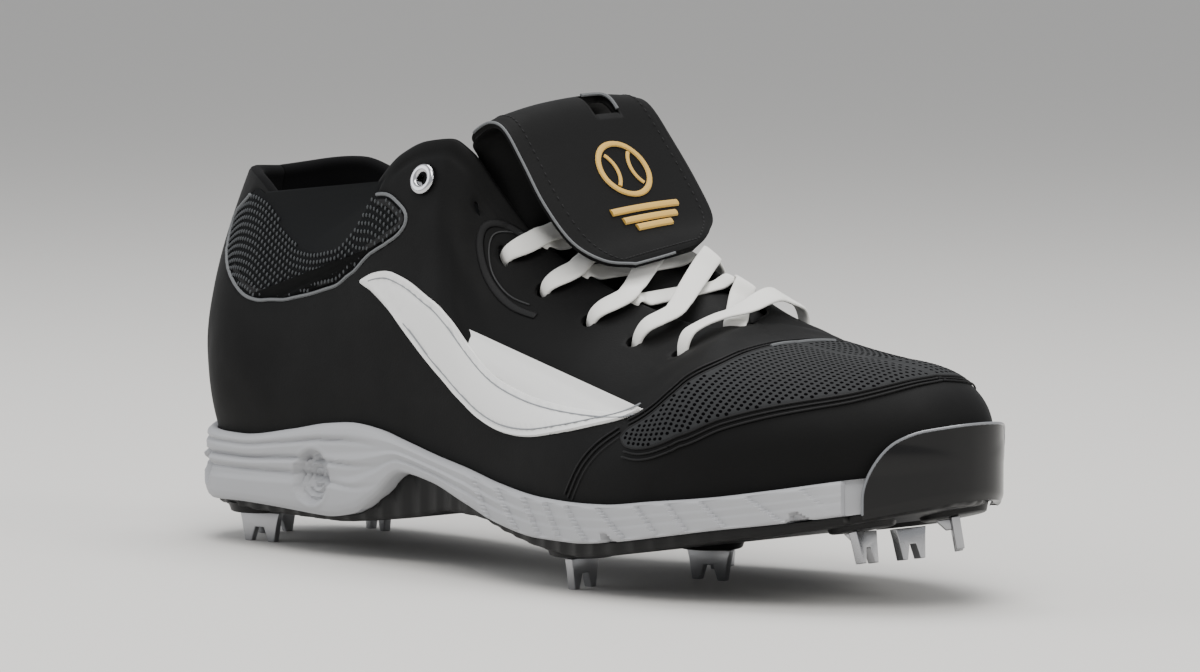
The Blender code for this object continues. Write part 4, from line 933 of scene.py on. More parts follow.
# %%
upper.data.materials.append(LINING)
count = len(points)
lined = np.zeros(len(upper.data.polygons), int)
for k, polygon in enumerate(upper.data.polygons):
    if all(i >= count for i in polygon.vertices):
        lined[k] = 1
upper.data.polygons.foreach_set("material_index", lined)
print("lined faces", int(lined.sum()))

# %% [markdown]
# ## Panels laid on the wall
# A panel is cut from its closed line: points on the line, rows just inside it and a grid in the
# middle are joined into triangles on the pattern, then laid on the wall. Its edge is crisp at
# any zoom because its own points lie on it.

# %%
def inside_steps(line, gap):
    """The closed line moved inwards by a gap, in metres on the pattern."""
    ahead = np.roll(line, -1, axis=0) - np.roll(line, 1, axis=0)
    normal = np.stack([-ahead[:, 1], ahead[:, 0]], -1)
    normal /= np.maximum(np.linalg.norm(normal, axis=1, keepdims=True), 1e-12)
    area = np.sum(line[:, 0] * np.roll(line[:, 1], -1) - np.roll(line[:, 0], -1) * line[:, 1])
    return line + normal * gap * np.sign(area)


def find_on_wall(side, spots, shares, heights):
    """Share and v of places on the pattern, each searched from the nearest of a coarse table."""
    s, v = np.meshgrid(np.linspace(*shares), np.linspace(*heights), indexing="ij")
    table = flat_place(side, s.ravel(), v.ravel())
    nearest = np.array([np.argmin(((table - p) ** 2).sum(axis=1)) for p in spots])
    s, v = s.ravel()[nearest], v.ravel()[nearest]
    return from_flat(side, s, v, spots - flat_place(side, s, v))


def panel(name, side, corners, lift, edge_drop, pitch, material, profile=None):
    """Raised sheet inside a closed line of (share, v) corners; returns its line on the pattern."""
    loop = smooth_line(corners, 7)
    loop[:, 1] = np.clip(loop[:, 1], 0, 1)
    flat = evenly(np.vstack([flat_place(side, *loop.T), flat_place(side, *loop[:1].T)]), 0.0011)[:-1]
    rings = [flat]
    for gap in (0.0004, 0.0011):
        line = inside_steps(flat, gap)
        rings.append(line[loop_distance(line, flat) > 0.85 * gap])
    low, high = flat.min(axis=0), flat.max(axis=0)
    grid = np.stack(np.meshgrid(np.arange(low[0], high[0], pitch), np.arange(low[1], high[1], pitch),
                                indexing="ij"), -1).reshape(-1, 2)
    grid = grid[loop_distance(grid, flat) > 0.0020]
    points = np.vstack(rings + [grid])
    edges = [(i, (i + 1) % len(flat)) for i in range(len(flat))]
    verts, _, faces, _, _, _ = delaunay_2d_cdt([Vector(p * 1000) for p in points], edges, [], 1, 1e-6, False)
    made = np.array([v[:] for v in verts]) / 1000
    faces = np.array([f for f in faces if len(f) == 3])
    share, v = find_on_wall(side, made, (0, 1, 161), (0, 1, 61))
    share, v = np.clip(share, 0, 1), np.clip(v, 0, 1)
    place, normal = wall_frame(side, share, v)
    place = place + normal * relief(side, share, v)[:, None]
    deep = loop_distance(made, flat)
    rise = np.where(deep < 0.0002, edge_drop, lift)
    if profile:
        rise = rise + profile(deep)
    a, b, c = (made[faces[:, k]] for k in range(3))
    turn = (b - a)[:, 0] * (c - a)[:, 1] - (b - a)[:, 1] * (c - a)[:, 0]
    p0, p1, p2 = (place[faces[:, k]] for k in range(3))
    outward = (np.cross(p1 - p0, p2 - p0) * normal[faces[:, 0]]).sum(axis=1)
    faces = np.where((outward < 0)[:, None], faces[:, ::-1], faces)
    faces = faces[np.abs(turn) > 1e-13]
    shape, every = thicken(place, normal, faces.tolist(), rise, np.full(len(place), 0.0012), 0.0, steps=2)
    add_piece(name, shape, every, material, sharp=50)
    return flat


def groove(deep):
    """A stitched groove round the edge of a sewn-on panel."""
    return -0.00035 * np.exp(-((deep - 0.0021) / 0.0004) ** 2)


collar_loops = {}
for side, word in ((-1, "lateral"), (1, "medial")):
    collar_loops[side] = panel("collar_mesh_" + word, side, COLLAR_PANEL, 0.0004, 0.0001, 0.0022,
                               MESH_DARK)
    panel("side_panel_" + word, side, SIDE_PANEL, 0.0009, 0.0002, 0.0014, WHITE, groove)

# %% [markdown]
# The vamp mesh is one sheet over the ridge: both sides' lines run from the rear tips to the toe
# and meet over the top, so the sheet is a grid between its lower and its upper line.

# %%
MESH_STEPS = 150
MESH_ROWS = 44
# Share of the lower line where the columns leave the upper line for the ridge
MESH_CORNER = 0.55
RIDGE_START = 0.822


def between(line, t):
    """A place at a share t of a line's points."""
    return np.array([np.interp(t, np.linspace(0, 1, len(line)), line[:, j]) for j in (0, 1)])


def vamp_side():
    """Grid of the vamp mesh on one side: along the lower line, then up to the ridge or upper line."""
    low = smooth_line(VAMP_LOW, 12, closed=False)
    high = smooth_line(VAMP_HIGH, 12, closed=False)
    columns = []
    for k in range(MESH_STEPS + 1):
        t = k / MESH_STEPS
        # The end of the column lies on the upper line while there is one, then on the ridge
        end = between(high, min(1.0, t / MESH_CORNER))
        if t > MESH_CORNER:
            ahead = (t - MESH_CORNER) / (1 - MESH_CORNER)
            end = np.array([RIDGE_START + (1.0 - RIDGE_START) * ahead, 1.0])
        columns.append((between(low, t), end))
    share = np.zeros((MESH_STEPS + 1, MESH_ROWS + 1))
    v = np.zeros_like(share)
    for k, (a, b) in enumerate(columns):
        t = np.linspace(0, 1, MESH_ROWS + 1)
        share[k] = a[0] + (b[0] - a[0]) * t
        v[k] = a[1] + (b[1] - a[1]) * t
    return share, v


vamp_share, vamp_v = vamp_side()
parts = []
for side in (-1, 1):
    share, v = vamp_share.ravel(), vamp_v.ravel()
    place, normal = wall_frame(side, share, v)
    place = place + normal * relief(side, share, v)[:, None]
    edge = np.ones_like(vamp_share)
    edge[0, :] = 0
    edge[:, 0] = 0
    edge[:int(0.56 * MESH_STEPS), -1] = 0
    rise = np.where(edge.ravel() > 0, 0.00045, 0.0001)
    quads = grid_faces(MESH_STEPS + 1, MESH_ROWS + 1)
    if side > 0:
        quads = quads[:, ::-1]
    parts.append(thicken(place, normal, quads[:, ::-1].tolist(), rise, np.full(len(place), 0.0012), 0.0,
                         steps=2))
shape, every = joined(parts)
add_piece("vamp_mesh", shape, every, MESH, sharp=50)

# %% [markdown]
# ## Piping and edge beads
# Thin beads run along the panel lines: a grey one round the collar mesh, a black one round the
# vamp mesh and down its seam, a short grey one where the mesh ends under the lowest lace, and a
# charcoal one round the first eyelet's patch.

# %%
TAB_LINE = ((0.808, 0.840), (0.816, 0.930), (0.824, 0.999))
PATCH_LINE = ((0.540, 0.996), (0.528, 0.965), (0.514, 0.900), (0.514, 0.840), (0.524, 0.792),
              (0.545, 0.782), (0.566, 0.800))
EDGES = {
    # piece: its finish, then each line's corners, lift and radius
    "collar_piping": (PIPING, ((COLLAR_PANEL[1:-1], 0.0004, 0.00055),)),
    "vamp_edge": (THREAD, ((VAMP_LOW, 0.0002, 0.00040), (VAMP_HIGH, 0.0002, 0.00040),
                           (SEAM, 0.0000, 0.00035))),
    "vamp_tab": (PIPING, ((TAB_LINE, 0.0005, 0.00050),)),
    "throat_seam": (DARK_PIPING, ((PATCH_LINE, 0.0002, 0.00028),)),
}


def wall_line(side, corners, splits=10, pitch=0.0012, lift=0.0003):
    """Line on the wall through (share, v) corners, with its normals.

    The steps are measured over place, normal, share and v together. So they are even in that
    measure, and much shorter than the pitch in metres.
    """
    line = smooth_line(corners, splits, closed=False)
    line[:, 1] = np.clip(line[:, 1], 0, 1)
    place, normal = wall_frame(side, line[:, 0], line[:, 1])
    place = place + normal * (relief(side, line[:, 0], line[:, 1]) + lift)[:, None]
    both = evenly(np.hstack([place, normal, line]), pitch)
    normal = both[:, 3:6] / np.linalg.norm(both[:, 3:6], axis=1, keepdims=True)
    return both[:, :3], normal


for name, (material, lines) in EDGES.items():
    parts = []
    for side in (-1, 1):
        for corners, lift, radius in lines:
            parts.append(tube(*wall_line(side, corners, lift=lift), radius))
    shape, every = joined(parts)
    add_piece(name, shape, every, material)

# %% [markdown]
# ## Stitches and mesh cells by Geometry Nodes
# One node group puts a small rounded bead on every point, turned along the point's own
# direction and normal. Named inputs set its length, width and height.

# %%
def bead_group():
    group = bpy.data.node_groups.new("beads_on_points", "GeometryNodeTree")
    face = group.interface
    face.new_socket("Geometry", in_out="INPUT", socket_type="NodeSocketGeometry")
    for word in ("Length", "Width", "Height"):
        face.new_socket(word, in_out="INPUT", socket_type="NodeSocketFloat")
    face.new_socket("Material", in_out="INPUT", socket_type="NodeSocketMaterial")
    face.new_socket("Geometry", in_out="OUTPUT", socket_type="NodeSocketGeometry")
    source = group.nodes.new("NodeGroupInput")
    target = group.nodes.new("NodeGroupOutput")
    size = add_node(group, "ShaderNodeCombineXYZ", {
        "X": source.outputs["Length"], "Y": source.outputs["Width"], "Z": source.outputs["Height"]})
    ball = add_node(group, "GeometryNodeMeshUVSphere", {"Segments": 6, "Rings": 4, "Radius": 0.5})
    turns = []
    for word, axis, pivot in (("ahead", "X", "AUTO"), ("up", "Z", "X")):
        value = add_node(group, "GeometryNodeInputNamedAttribute", {"Name": word}, data_type="FLOAT_VECTOR")
        turn = add_node(group, "FunctionNodeAlignRotationToVector",
                        {"Vector": value.outputs["Attribute"]}, axis=axis, pivot_axis=pivot)
        if turns:
            group.links.new(turns[-1].outputs["Rotation"], turn.inputs["Rotation"])
        turns.append(turn)
    placed = add_node(group, "GeometryNodeInstanceOnPoints", {
        "Points": source.outputs["Geometry"], "Instance": ball.outputs["Mesh"],
        "Rotation": turns[-1].outputs["Rotation"], "Scale": size.outputs["Vector"]})
    real = add_node(group, "GeometryNodeRealizeInstances", {"Geometry": placed.outputs["Instances"]})
    done = add_node(group, "GeometryNodeSetMaterial", {"Geometry": real.outputs["Geometry"],
                                                       "Material": source.outputs["Material"]})
    group.links.new(done.outputs["Geometry"], target.inputs["Geometry"])
    return group


BEADS = bead_group()


def beads_on(name, places, ahead, up, length, width, height, material):
    """A piece with one bead at every place."""
    mesh = bpy.data.meshes.new(name)
    mesh.from_pydata((np.asarray(places) + SHIFT).tolist(), [], [])
    for word, values in (("ahead", ahead), ("up", up)):
        layer = mesh.attributes.new(word, "FLOAT_VECTOR", "POINT")
        layer.data.foreach_set("vector", np.asarray(values, np.float32).ravel())
    source = bpy.data.objects.new(name + "_points", mesh)
    bpy.context.scene.collection.objects.link(source)
    step = source.modifiers.new("beads", "NODES")
    step.node_group = BEADS
    sizes = {"Length": length, "Width": width, "Height": height, "Material": material}
    for socket in BEADS.interface.items_tree:
        if socket.in_out == "INPUT" and socket.name in sizes:
            step[socket.identifier] = sizes[socket.name]
    graph = bpy.context.evaluated_depsgraph_get()
    shape = bpy.data.meshes.new_from_object(source.evaluated_get(graph))
    bpy.data.objects.remove(source)
    shape.shade_smooth()
    if not len(shape.materials):
        shape.materials.append(material)
    made = bpy.data.objects.new(name, shape)
    bpy.context.scene.collection.objects.link(made)
    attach(made, "root")
    print(name, len(places), "beads", len(shape.polygons), "faces")


def stitch_row(side, corners, offset, pitch, lift=0.0002, across=False, splits=10):
    """Stitch places along a line, moved sideways on the wall by an offset."""
    line, up = wall_line(side, corners, splits, pitch, lift)
    ahead = np.gradient(line, axis=0)
    ahead /= np.linalg.norm(ahead, axis=1, keepdims=True)
    wide = np.cross(up, ahead)
    return line + wide * offset, (wide if across else ahead), up


PATCH_STITCHES = ((0.545, 0.990), (0.520, 0.955), (0.505, 0.890), (0.505, 0.820), (0.520, 0.765),
                  (0.550, 0.755), (0.575, 0.775))
stitch_rows = {"black": [], "radial": [], "grey": []}
for side in (-1, 1):
    for offset in (0.0016, 0.0032):
        flip = -side * offset
        stitch_rows["black"].append(stitch_row(side, VAMP_LOW[1:], -flip, 0.0023))
        stitch_rows["black"].append(stitch_row(side, VAMP_HIGH[1:], flip, 0.0023))
        stitch_rows["black"].append(stitch_row(side, SEAM, flip, 0.0023))
    stitch_rows["radial"].append(stitch_row(side, COLLAR_PANEL[4:15], side * -0.0024, 0.0024, across=True))
    stitch_rows["radial"].append(stitch_row(side, PATCH_STITCHES, 0.0, 0.0022, across=True))
    for run in (SIDE_PANEL[1:8], SIDE_PANEL[8:16]):
        stitch_rows["grey"].append(stitch_row(side, run, side * 0.0021, 0.0024, lift=0.0008))
for name, (length, width, high, material) in {
        "black": (0.0017, 0.0007, 0.0006, THREAD), "radial": (0.0026, 0.0006, 0.0005, THREAD),
        "grey": (0.0013, 0.0005, 0.0005, THREAD_GREY)}.items():
    places, ahead, up = (np.vstack([row[k] for row in stitch_rows[name]]) for k in range(3))
    beads_on("stitches_" + name, places, ahead, up, length, width, high, material)

# %% [markdown]
# The vamp mesh has rows of dark openings and the collar mesh rows of ribs.

# %%
def cells(corners_flat, pitch_along, pitch_up, margin):
    """Regular places inside a closed line on the pattern."""
    low, high = corners_flat.min(axis=0), corners_flat.max(axis=0)
    across = np.arange(low[0], high[0], pitch_along)
    upward = np.arange(low[1], high[1], pitch_up)
    grid = np.stack(np.meshgrid(across, upward, indexing="ij"), -1).reshape(-1, 2)
    return grid[loop_distance(grid, corners_flat) > margin]


places, aheads, ups = [], [], []
for side in (-1, 1):
    spots = cells(collar_loops[side], 0.00175, 0.00225, 0.0010)
    share, v = find_on_wall(side, spots, (0, 0.45, 121), (0.3, 1, 81))
    good = (v < 0.995) & (share > 0)
    share, v = share[good], v[good]
    place, normal = wall_frame(side, share, v)
    above, _ = wall_frame(side, share, np.clip(v + 0.01, 0, 1))
    places.append(place + normal * (relief(side, share, v) + 0.00085)[:, None])
    aheads.append(above - place)
    ups.append(normal)
beads_on("collar_mesh_ribs", np.vstack(places), np.vstack(aheads), np.vstack(ups),
         0.00150, 0.00085, 0.00060, DASH)

places, aheads, ups = [], [], []
ridge = [(s, 1.0) for s in np.linspace(1.0, 0.824, 24)]
low_line = smooth_line(VAMP_LOW, 6, closed=False)
high_line = smooth_line(VAMP_HIGH, 6, closed=False)
vamp_loop = np.vstack([low_line, ridge, high_line[::-1][1:-1]])
for side in (-1, 1):
    spots = cells(flat_place(side, *vamp_loop.T), 0.00215, 0.00165, 0.0009)
    share, v = find_on_wall(side, spots, (0.66, 1, 101), (0.15, 1, 81))
    good = (v < 0.998) & (v > 0.2) & (share < 0.9995)
    share, v = share[good], v[good]
    place, normal = wall_frame(side, share, v)
    ahead_share, ahead_v = from_flat(side, share, v, np.tile([0.0004, 0.0], (len(share), 1)))
    above = upper_point(side, np.clip(ahead_share, 0, 1), np.clip(ahead_v, 0, 1))
    places.append(place + normal * (relief(side, share, v) + 0.00045)[:, None])
    aheads.append(above - place + 1e-9)
    ups.append(normal)
beads_on("vamp_mesh_openings", np.vstack(places), np.vstack(aheads), np.vstack(ups),
         0.00135, 0.00105, 0.00022, CELL)

# %% [markdown]
# ## Tongue and flap
# The CAD's rows of the tongue are refined into a dense grid, thickened as padding with a
# thinner stitched border, and cut for the keeper slot near the fold.

# %%
TONGUE_LOW = (
    # share, reach under the eyestay, crown, half thickness
    (0.742, 0.120, 0.008, 0.35),
    (0.705, 0.130, 0.016, 0.50),
    (0.665, 0.130, 0.020, 0.50),
    (0.630, 0.128, 0.016, 0.50),
    (0.600, 0.125, 0.018, 0.50),
    (0.570, 0.125, 0.030, 0.50),
    (0.540, 0.120, 0.060, 0.50),
)
TONGUE_HIGH = (
    # along, height, centre, half width, sides back, sides down, roundness, tilt, half thickness
    (0.488, 0.912, 0.050, 0.200, 0.200, 0.060, 2.4, 0.04, 0.50),
    (0.466, 0.995, 0.036, 0.205, 0.165, 0.040, 3.0, 0.03, 0.46),
    (0.450, 1.036, 0.030, 0.240, 0.110, 0.034, 3.0, 0.05, 0.40),
    (0.444, 1.068, 0.034, 0.262, 0.040, 0.030, 2.6, 0.08, 0.34),
    (0.453, 1.088, 0.036, 0.268, 0.010, 0.030, 2.2, 0.10, 0.30),
    (0.471, 1.074, 0.040, 0.276, 0.006, 0.032, 2.2, 0.10, 0.30),
    (0.498, 0.992, 0.050, 0.286, 0.012, 0.026, 2.0, 0.08, 0.30),
    (0.528, 0.896, 0.056, 0.290, 0.016, 0.020, 2.0, 0.08, 0.30),
    (0.558, 0.808, 0.060, 0.268, 0.016, 0.014, 2.0, 0.10, 0.30),
    (0.579, 0.762, 0.050, 0.200, 0.010, 0.006, 2.0, 0.15, 0.30),
    (0.590, 0.738, 0.048, 0.110, 0.004, 0.000, 2.0, 0.17, 0.30),
)
WING_COLUMNS = 4
TONGUE_COLUMNS = 13
TONGUE_CLEAR = 0.0020
FOLD_ROW = len(TONGUE_LOW) + 4
FINE = 6
# The keeper slot, in fine rows past the fold and fine columns
SLOT_ROWS = (1, 8)
SLOT_COLUMNS = (33, 43)


def low_row(share, reach, crown, half):
    depth = WALL + TONGUE_CLEAR + half * TONGUE_THICKNESS
    wings = []
    for side in (-1, 1):
        wing = []
        for k in range(WING_COLUMNS):
            below = reach * BALL_WIDTH * (1 - k / (WING_COLUMNS - 1))
            place, normal = wall_frame(side, share, 1 - below / wall_length(side, share))
            wing.append(place - normal * depth)
        wings.append(wing)
    left, right = wings[0][-1], wings[1][-1]
    ahead = upper_point(-1, share - 0.01, 1.0) - upper_point(-1, share + 0.01, 1.0)
    ahead[1] = 0
    up = np.cross(right - left, ahead)
    up /= np.linalg.norm(up) * (1 if up[2] > 0 else -1)
    inner = TONGUE_COLUMNS - 2 * WING_COLUMNS
    arch = []
    for k in range(1, inner + 1):
        t = k / (inner + 1)
        arch.append(left * (1 - t) + right * t + up * crown * BALL_WIDTH * 4 * t * (1 - t))
    return wings[0] + arch + wings[1][::-1]


def high_row(row):
    u = np.linspace(-1, 1, TONGUE_COLUMNS)
    centre, half_width, back, down = np.array(row[2:6]) * BALL_WIDTH
    round_off = np.abs(u) ** row[6]
    y = half_width * u
    return np.stack([row[0] * LENGTH - back * round_off, centre + y,
                     row[1] * UPPER_HEIGHT - down * round_off + row[7] * y], -1)


def refine(grid, splits):
    """Catmull-Rom refinement of the first axis."""
    padded = np.concatenate([2 * grid[:1] - grid[1:2], grid, 2 * grid[-1:] - grid[-2:-1]])
    out = []
    for i in range(len(grid) - 1):
        a, b, c, d = padded[i:i + 4]
        for j in range(splits):
            out.append(curve_point(a, b, c, d, j / splits))
    out.append(grid[-1])
    return np.array(out)


coarse = np.array([low_row(*row) for row in TONGUE_LOW] + [high_row(row) for row in TONGUE_HIGH])
half = np.array([row[-1] for row in TONGUE_LOW + TONGUE_HIGH]) * TONGUE_THICKNESS
sheet = refine(refine(coarse, FINE).transpose(1, 0, 2), FINE - 1).transpose(1, 0, 2)
rows, columns = sheet.shape[:2]
half_fine = np.interp(np.linspace(0, len(half) - 1, rows), np.arange(len(half)), half)
face_up = np.cross(np.gradient(sheet, axis=0), np.gradient(sheet, axis=1))
face_up /= np.linalg.norm(face_up, axis=-1, keepdims=True)
across = np.abs(np.linspace(-1, 1, columns))[None, :]
end_gap = (rows - 1 - np.arange(rows))[:, None] / FINE
border = np.minimum((1 - across) * 8.0, end_gap * 2.2)
puff = 0.72 + 0.28 * soft(border) - 0.10 * np.exp(-((border - 0.55) / 0.16) ** 2)
thick = half_fine[:, None] * np.broadcast_to(puff, (rows, columns))
quads = grid_faces(rows, columns)
fold = FOLD_ROW * FINE
row_of, column_of = np.divmod(quads[:, 0], columns)
slot_rows = (row_of >= fold + SLOT_ROWS[0]) & (row_of < fold + SLOT_ROWS[1])
slot_columns = (column_of >= SLOT_COLUMNS[0]) & (column_of < SLOT_COLUMNS[1])
kept = quads[~(slot_rows & slot_columns)]
used = np.unique(kept)
renumber = np.full(rows * columns, -1)
renumber[used] = np.arange(len(used))
flat_points = sheet.reshape(-1, 3)[used]
flat_up = face_up.reshape(-1, 3)[used]
flat_thick = thick.reshape(-1)[used]
shape, every = thicken(flat_points, flat_up, renumber[kept].tolist(), flat_thick, flat_thick,
                       0.8 * flat_thick, steps=4)
tongue = add_piece("tongue_padded", shape, every, LEATHER, ("tongue",), sharp=0)


def on_flap(row, column, lift):
    """Places and normals on the flap's outer face, from rows and columns of the fine grid."""
    row = np.clip(np.asarray(row, float), 0, rows - 1.001)
    column = np.clip(np.asarray(column, float), 0, columns - 1.001)
    r, c = row.astype(int), column.astype(int)
    a, b = (row - r)[:, None], (column - c)[:, None]
    out = []
    for field in (sheet, face_up):
        out.append(field[r, c] * (1 - a) * (1 - b) + field[r + 1, c] * a * (1 - b)
                   + field[r, c + 1] * (1 - a) * b + field[r + 1, c + 1] * a * b)
    deep = thick[r, c][:, None]
    normal = out[1] / np.linalg.norm(out[1], axis=1, keepdims=True)
    return out[0] + normal * (deep + lift), normal


print("tongue grid", rows, "x", columns)

# %% [markdown]
# A grey bead edges the flap and the slot's inner side, and stitches follow the border.
# The gold embroidery is a plain ball with two seams over three bars.

# %%
edge_rows = np.arange(fold - 9, rows - 1)
side_edge = np.stack([edge_rows, np.zeros(len(edge_rows))], -1)
end_edge = np.stack([np.full(columns, rows - 1.01), np.arange(columns)], -1)
line, up = on_flap(*np.vstack([side_edge, end_edge[:40]]).T, 0.0)
line = evenly(np.hstack([line, up]), 0.0012)
parts = [tube(line[:, :3], line[:, 3:], 0.00042)]
slot_edge = np.array([(fold + 1, 36), (fold + 1, 40), (fold + 1.5, 42.6), (fold + 3, 43.3), (fold + 5, 43.4),
                      (fold + 7.4, 43.0)])
line, up = on_flap(*smooth_line(slot_edge, 6, closed=False).T, 0.0002)
parts.append(tube(line, up, 0.00055))
shape, every = joined(parts)
add_piece("tongue_piping", shape, every, PIPING)
inset_rows = np.arange(fold - 4, rows - 5, 1.15)
left = np.stack([inset_rows, np.full(len(inset_rows), 5.0)], -1)
right = np.stack([inset_rows, np.full(len(inset_rows), columns - 6.0)], -1)
low_end = np.stack([np.full(22, rows - 5.0), np.linspace(7, columns - 8, 22)], -1)
places, ahead, up = [], [], []
for path in (left, low_end, right):
    at, normal = on_flap(*path.T, 0.0)
    places.append(at)
    ahead.append(np.gradient(at, axis=0))
    up.append(normal)
beads_on("stitches_tongue", np.vstack(places), np.vstack(ahead), np.vstack(up), 0.0016, 0.0006, 0.0005,
         THREAD)
centre_row, centre_column = fold + 16.0, 0.53 * columns
parts = []
per_row = np.linalg.norm(sheet[fold + 18, 30] - sheet[fold + 17, 30])
per_column = np.linalg.norm(sheet[fold + 18, 31] - sheet[fold + 18, 30])


def gold_line(x, y, radius, closed=False, flat=0.6):
    """Embroidered line: x to the right and y down from the icon's centre, in metres."""
    line, up = on_flap(centre_row + np.asarray(y) / per_row,
                       centre_column + np.asarray(x) / per_column, 0.0002)
    parts.append(tube(line, up, radius, closed, 8, flat))


turn = np.linspace(0, 2 * np.pi, 40, endpoint=False)
gold_line(0.0088 * np.cos(turn), 0.0088 * np.sin(turn), 0.00095, True)
for way in (-1, 1):
    bend = np.linspace(-0.75, 0.75, 14)
    gold_line(way * (0.0105 - 0.0078 * np.cos(bend)), 0.0078 * np.sin(bend), 0.00065)
for k, long in enumerate((0.0135, 0.0110, 0.0075)):
    steps = np.linspace(-1, 1, 12)
    gold_line(steps * long, 0.0135 + 0.0038 * k + 0 * steps, 0.0012)
shape, every = joined(parts)
add_piece("tongue_embroidery", shape, every, GOLD)

# %% [markdown]
# ## Laces
# Each run lies on the tongue and on the upper beside the throat, found by casting rays. The
# lace comes up through an eyelet narrow and gathered, widens, and crosses. A run that starts
# at an edge comes from under the eyestay, as in the photo.

# %%
RUNS = (
    # lateral eyelet, medial eyelet, start at the lateral side, end at the medial side, layer
    (5, 5, "eyelet", "eyelet", 2),
    (5, 4, "edge", "eyelet", 0),
    (4, 3, "eyelet", "eyelet", 2),
    (3, 4, "edge", "edge", 0),
    (3, 2, "eyelet", "eyelet", 1),
    (2, 3, "edge", "edge", 0),
    (2, 1, "eyelet", "eyelet", 1),
    (1, 2, "edge", "edge", 0),
    (1, 1, "eyelet", "eyelet", 1),
)
LACE_AIM = 0.10
LACE_SLANT = 0.020
LACE_SEARCH = 0.020
LACE_LIFT = 0.0010
# Height of one layer of lace over another
LACE_LAYER = 0.0013
# Reach of an eyelet along the lace, and share of the full width where the lace is gathered
LACE_HOLE = 0.0032
LACE_NARROW = 0.72


def under_laces():
    shapes = []
    low = sheet[:fold]
    up = face_up[:fold]
    deep = thick[:fold]
    shapes.append(((low + up * deep[..., None]).reshape(-1, 3), grid_faces(fold, columns)))
    for side in (-1, 1):
        s, v = np.meshgrid(np.linspace(0.46, ZIP, 40), np.linspace(0.6, 1.0, 16), indexing="ij")
        place = upper_point(side, s.ravel(), v.ravel()).reshape(40, 16, 3)
        beyond = place[:, -1:] - place[:, -2:-1]
        beyond /= np.linalg.norm(beyond, axis=-1, keepdims=True)
        place = np.concatenate([place, place[:, -1:] + beyond * 0.0015], axis=1)
        shapes.append((place.reshape(-1, 3), grid_faces(40, 17)))
    points, faces = joined(shapes)
    return BVHTree.FromPolygons(points.tolist(), faces)


UNDER = under_laces()


def gathered(distance):
    """Share of the full width at a distance from an eyelet."""
    return LACE_NARROW + (1 - LACE_NARROW) * soft((distance - 0.002) / 0.009)


def lace_run(lateral, medial, start, end, layer):
    """Middle line, up directions and shares of the full width of one run."""
    places, ups = [], []
    for side, number, other, kind in ((-1, lateral, medial, start), (1, medial, lateral, end)):
        _, share, below, _ = EYELETS[number - 1]
        aim = EYELETS[other - 1][1] - share
        hole_v = hole_centre(side, share, below)[1]
        shift = LACE_SLANT if side < 0 else LACE_AIM * aim
        edge_share = share + shift
        if kind == "edge":
            route = ((edge_share, 0.985, -0.0022), (edge_share, 1.0, -0.0008))
        else:
            route = ((share, hole_v, -0.0030), (share + 0.12 * shift, hole_v + 0.12 * (1 - hole_v), 0.0008),
                     (share + 0.55 * shift, 0.5 * (1 + hole_v), LACE_LIFT),
                     (edge_share, 1.0, LACE_LIFT))
        pair = []
        for s, v, lift in route:
            place, normal = wall_frame(side, s, v)
            pair.append((place + normal * lift, normal))
        if side > 0:
            pair = pair[::-1]
        places += [p for p, _ in pair]
        ups += [u for _, u in pair]
    places = np.array(places)
    ups = np.array(ups)
    run = np.concatenate([[0], np.cumsum(np.linalg.norm(np.diff(places, axis=0), axis=1))])
    t = np.linspace(0, run[-1], 64)
    line = np.stack([np.interp(t, run, places[:, k]) for k in range(3)], -1)
    lean = np.stack([np.interp(t, run, ups[:, k]) for k in range(3)], -1)
    lean /= np.linalg.norm(lean, axis=1, keepdims=True)
    wide = np.cross(lean, np.gradient(line, axis=0))
    wide /= np.linalg.norm(wide, axis=1, keepdims=True)
    a = run[0] + (LACE_HOLE if start == "eyelet" else 0.0)
    b = run[-1] - (LACE_HOLE if end == "eyelet" else 0.0)
    free = np.clip(np.minimum(t - a, b - t) / 0.004, 0, 1)
    lifted = np.zeros(len(t))
    for k in range(len(t)):
        if free[k] <= 0:
            continue
        best = 0.0
        for share in (-0.5, -0.25, 0.0, 0.25, 0.5):
            at = line[k] + wide[k] * LACE_WIDTH * share
            hit = UNDER.ray_cast(Vector(at + lean[k] * LACE_SEARCH), Vector(-lean[k]), 2 * LACE_SEARCH)[0]
            if hit is not None:
                best = max(best, float(np.dot(np.array(hit) - at, lean[k])) + LACE_LIFT)
        lifted[k] = (best + LACE_LAYER * layer * free[k]) * free[k]
    kernel = np.array([1, 2, 3, 2, 1]) / 9
    smooth = np.convolve(np.pad(lifted, 2, mode="edge"), kernel, mode="valid")
    line = line + lean * np.maximum(lifted, smooth)[:, None]
    near_hole = np.ones(len(t))
    if start == "eyelet":
        near_hole = np.minimum(near_hole, gathered(t))
    if end == "eyelet":
        near_hole = np.minimum(near_hole, gathered(run[-1] - t))
    return line, lean, near_hole


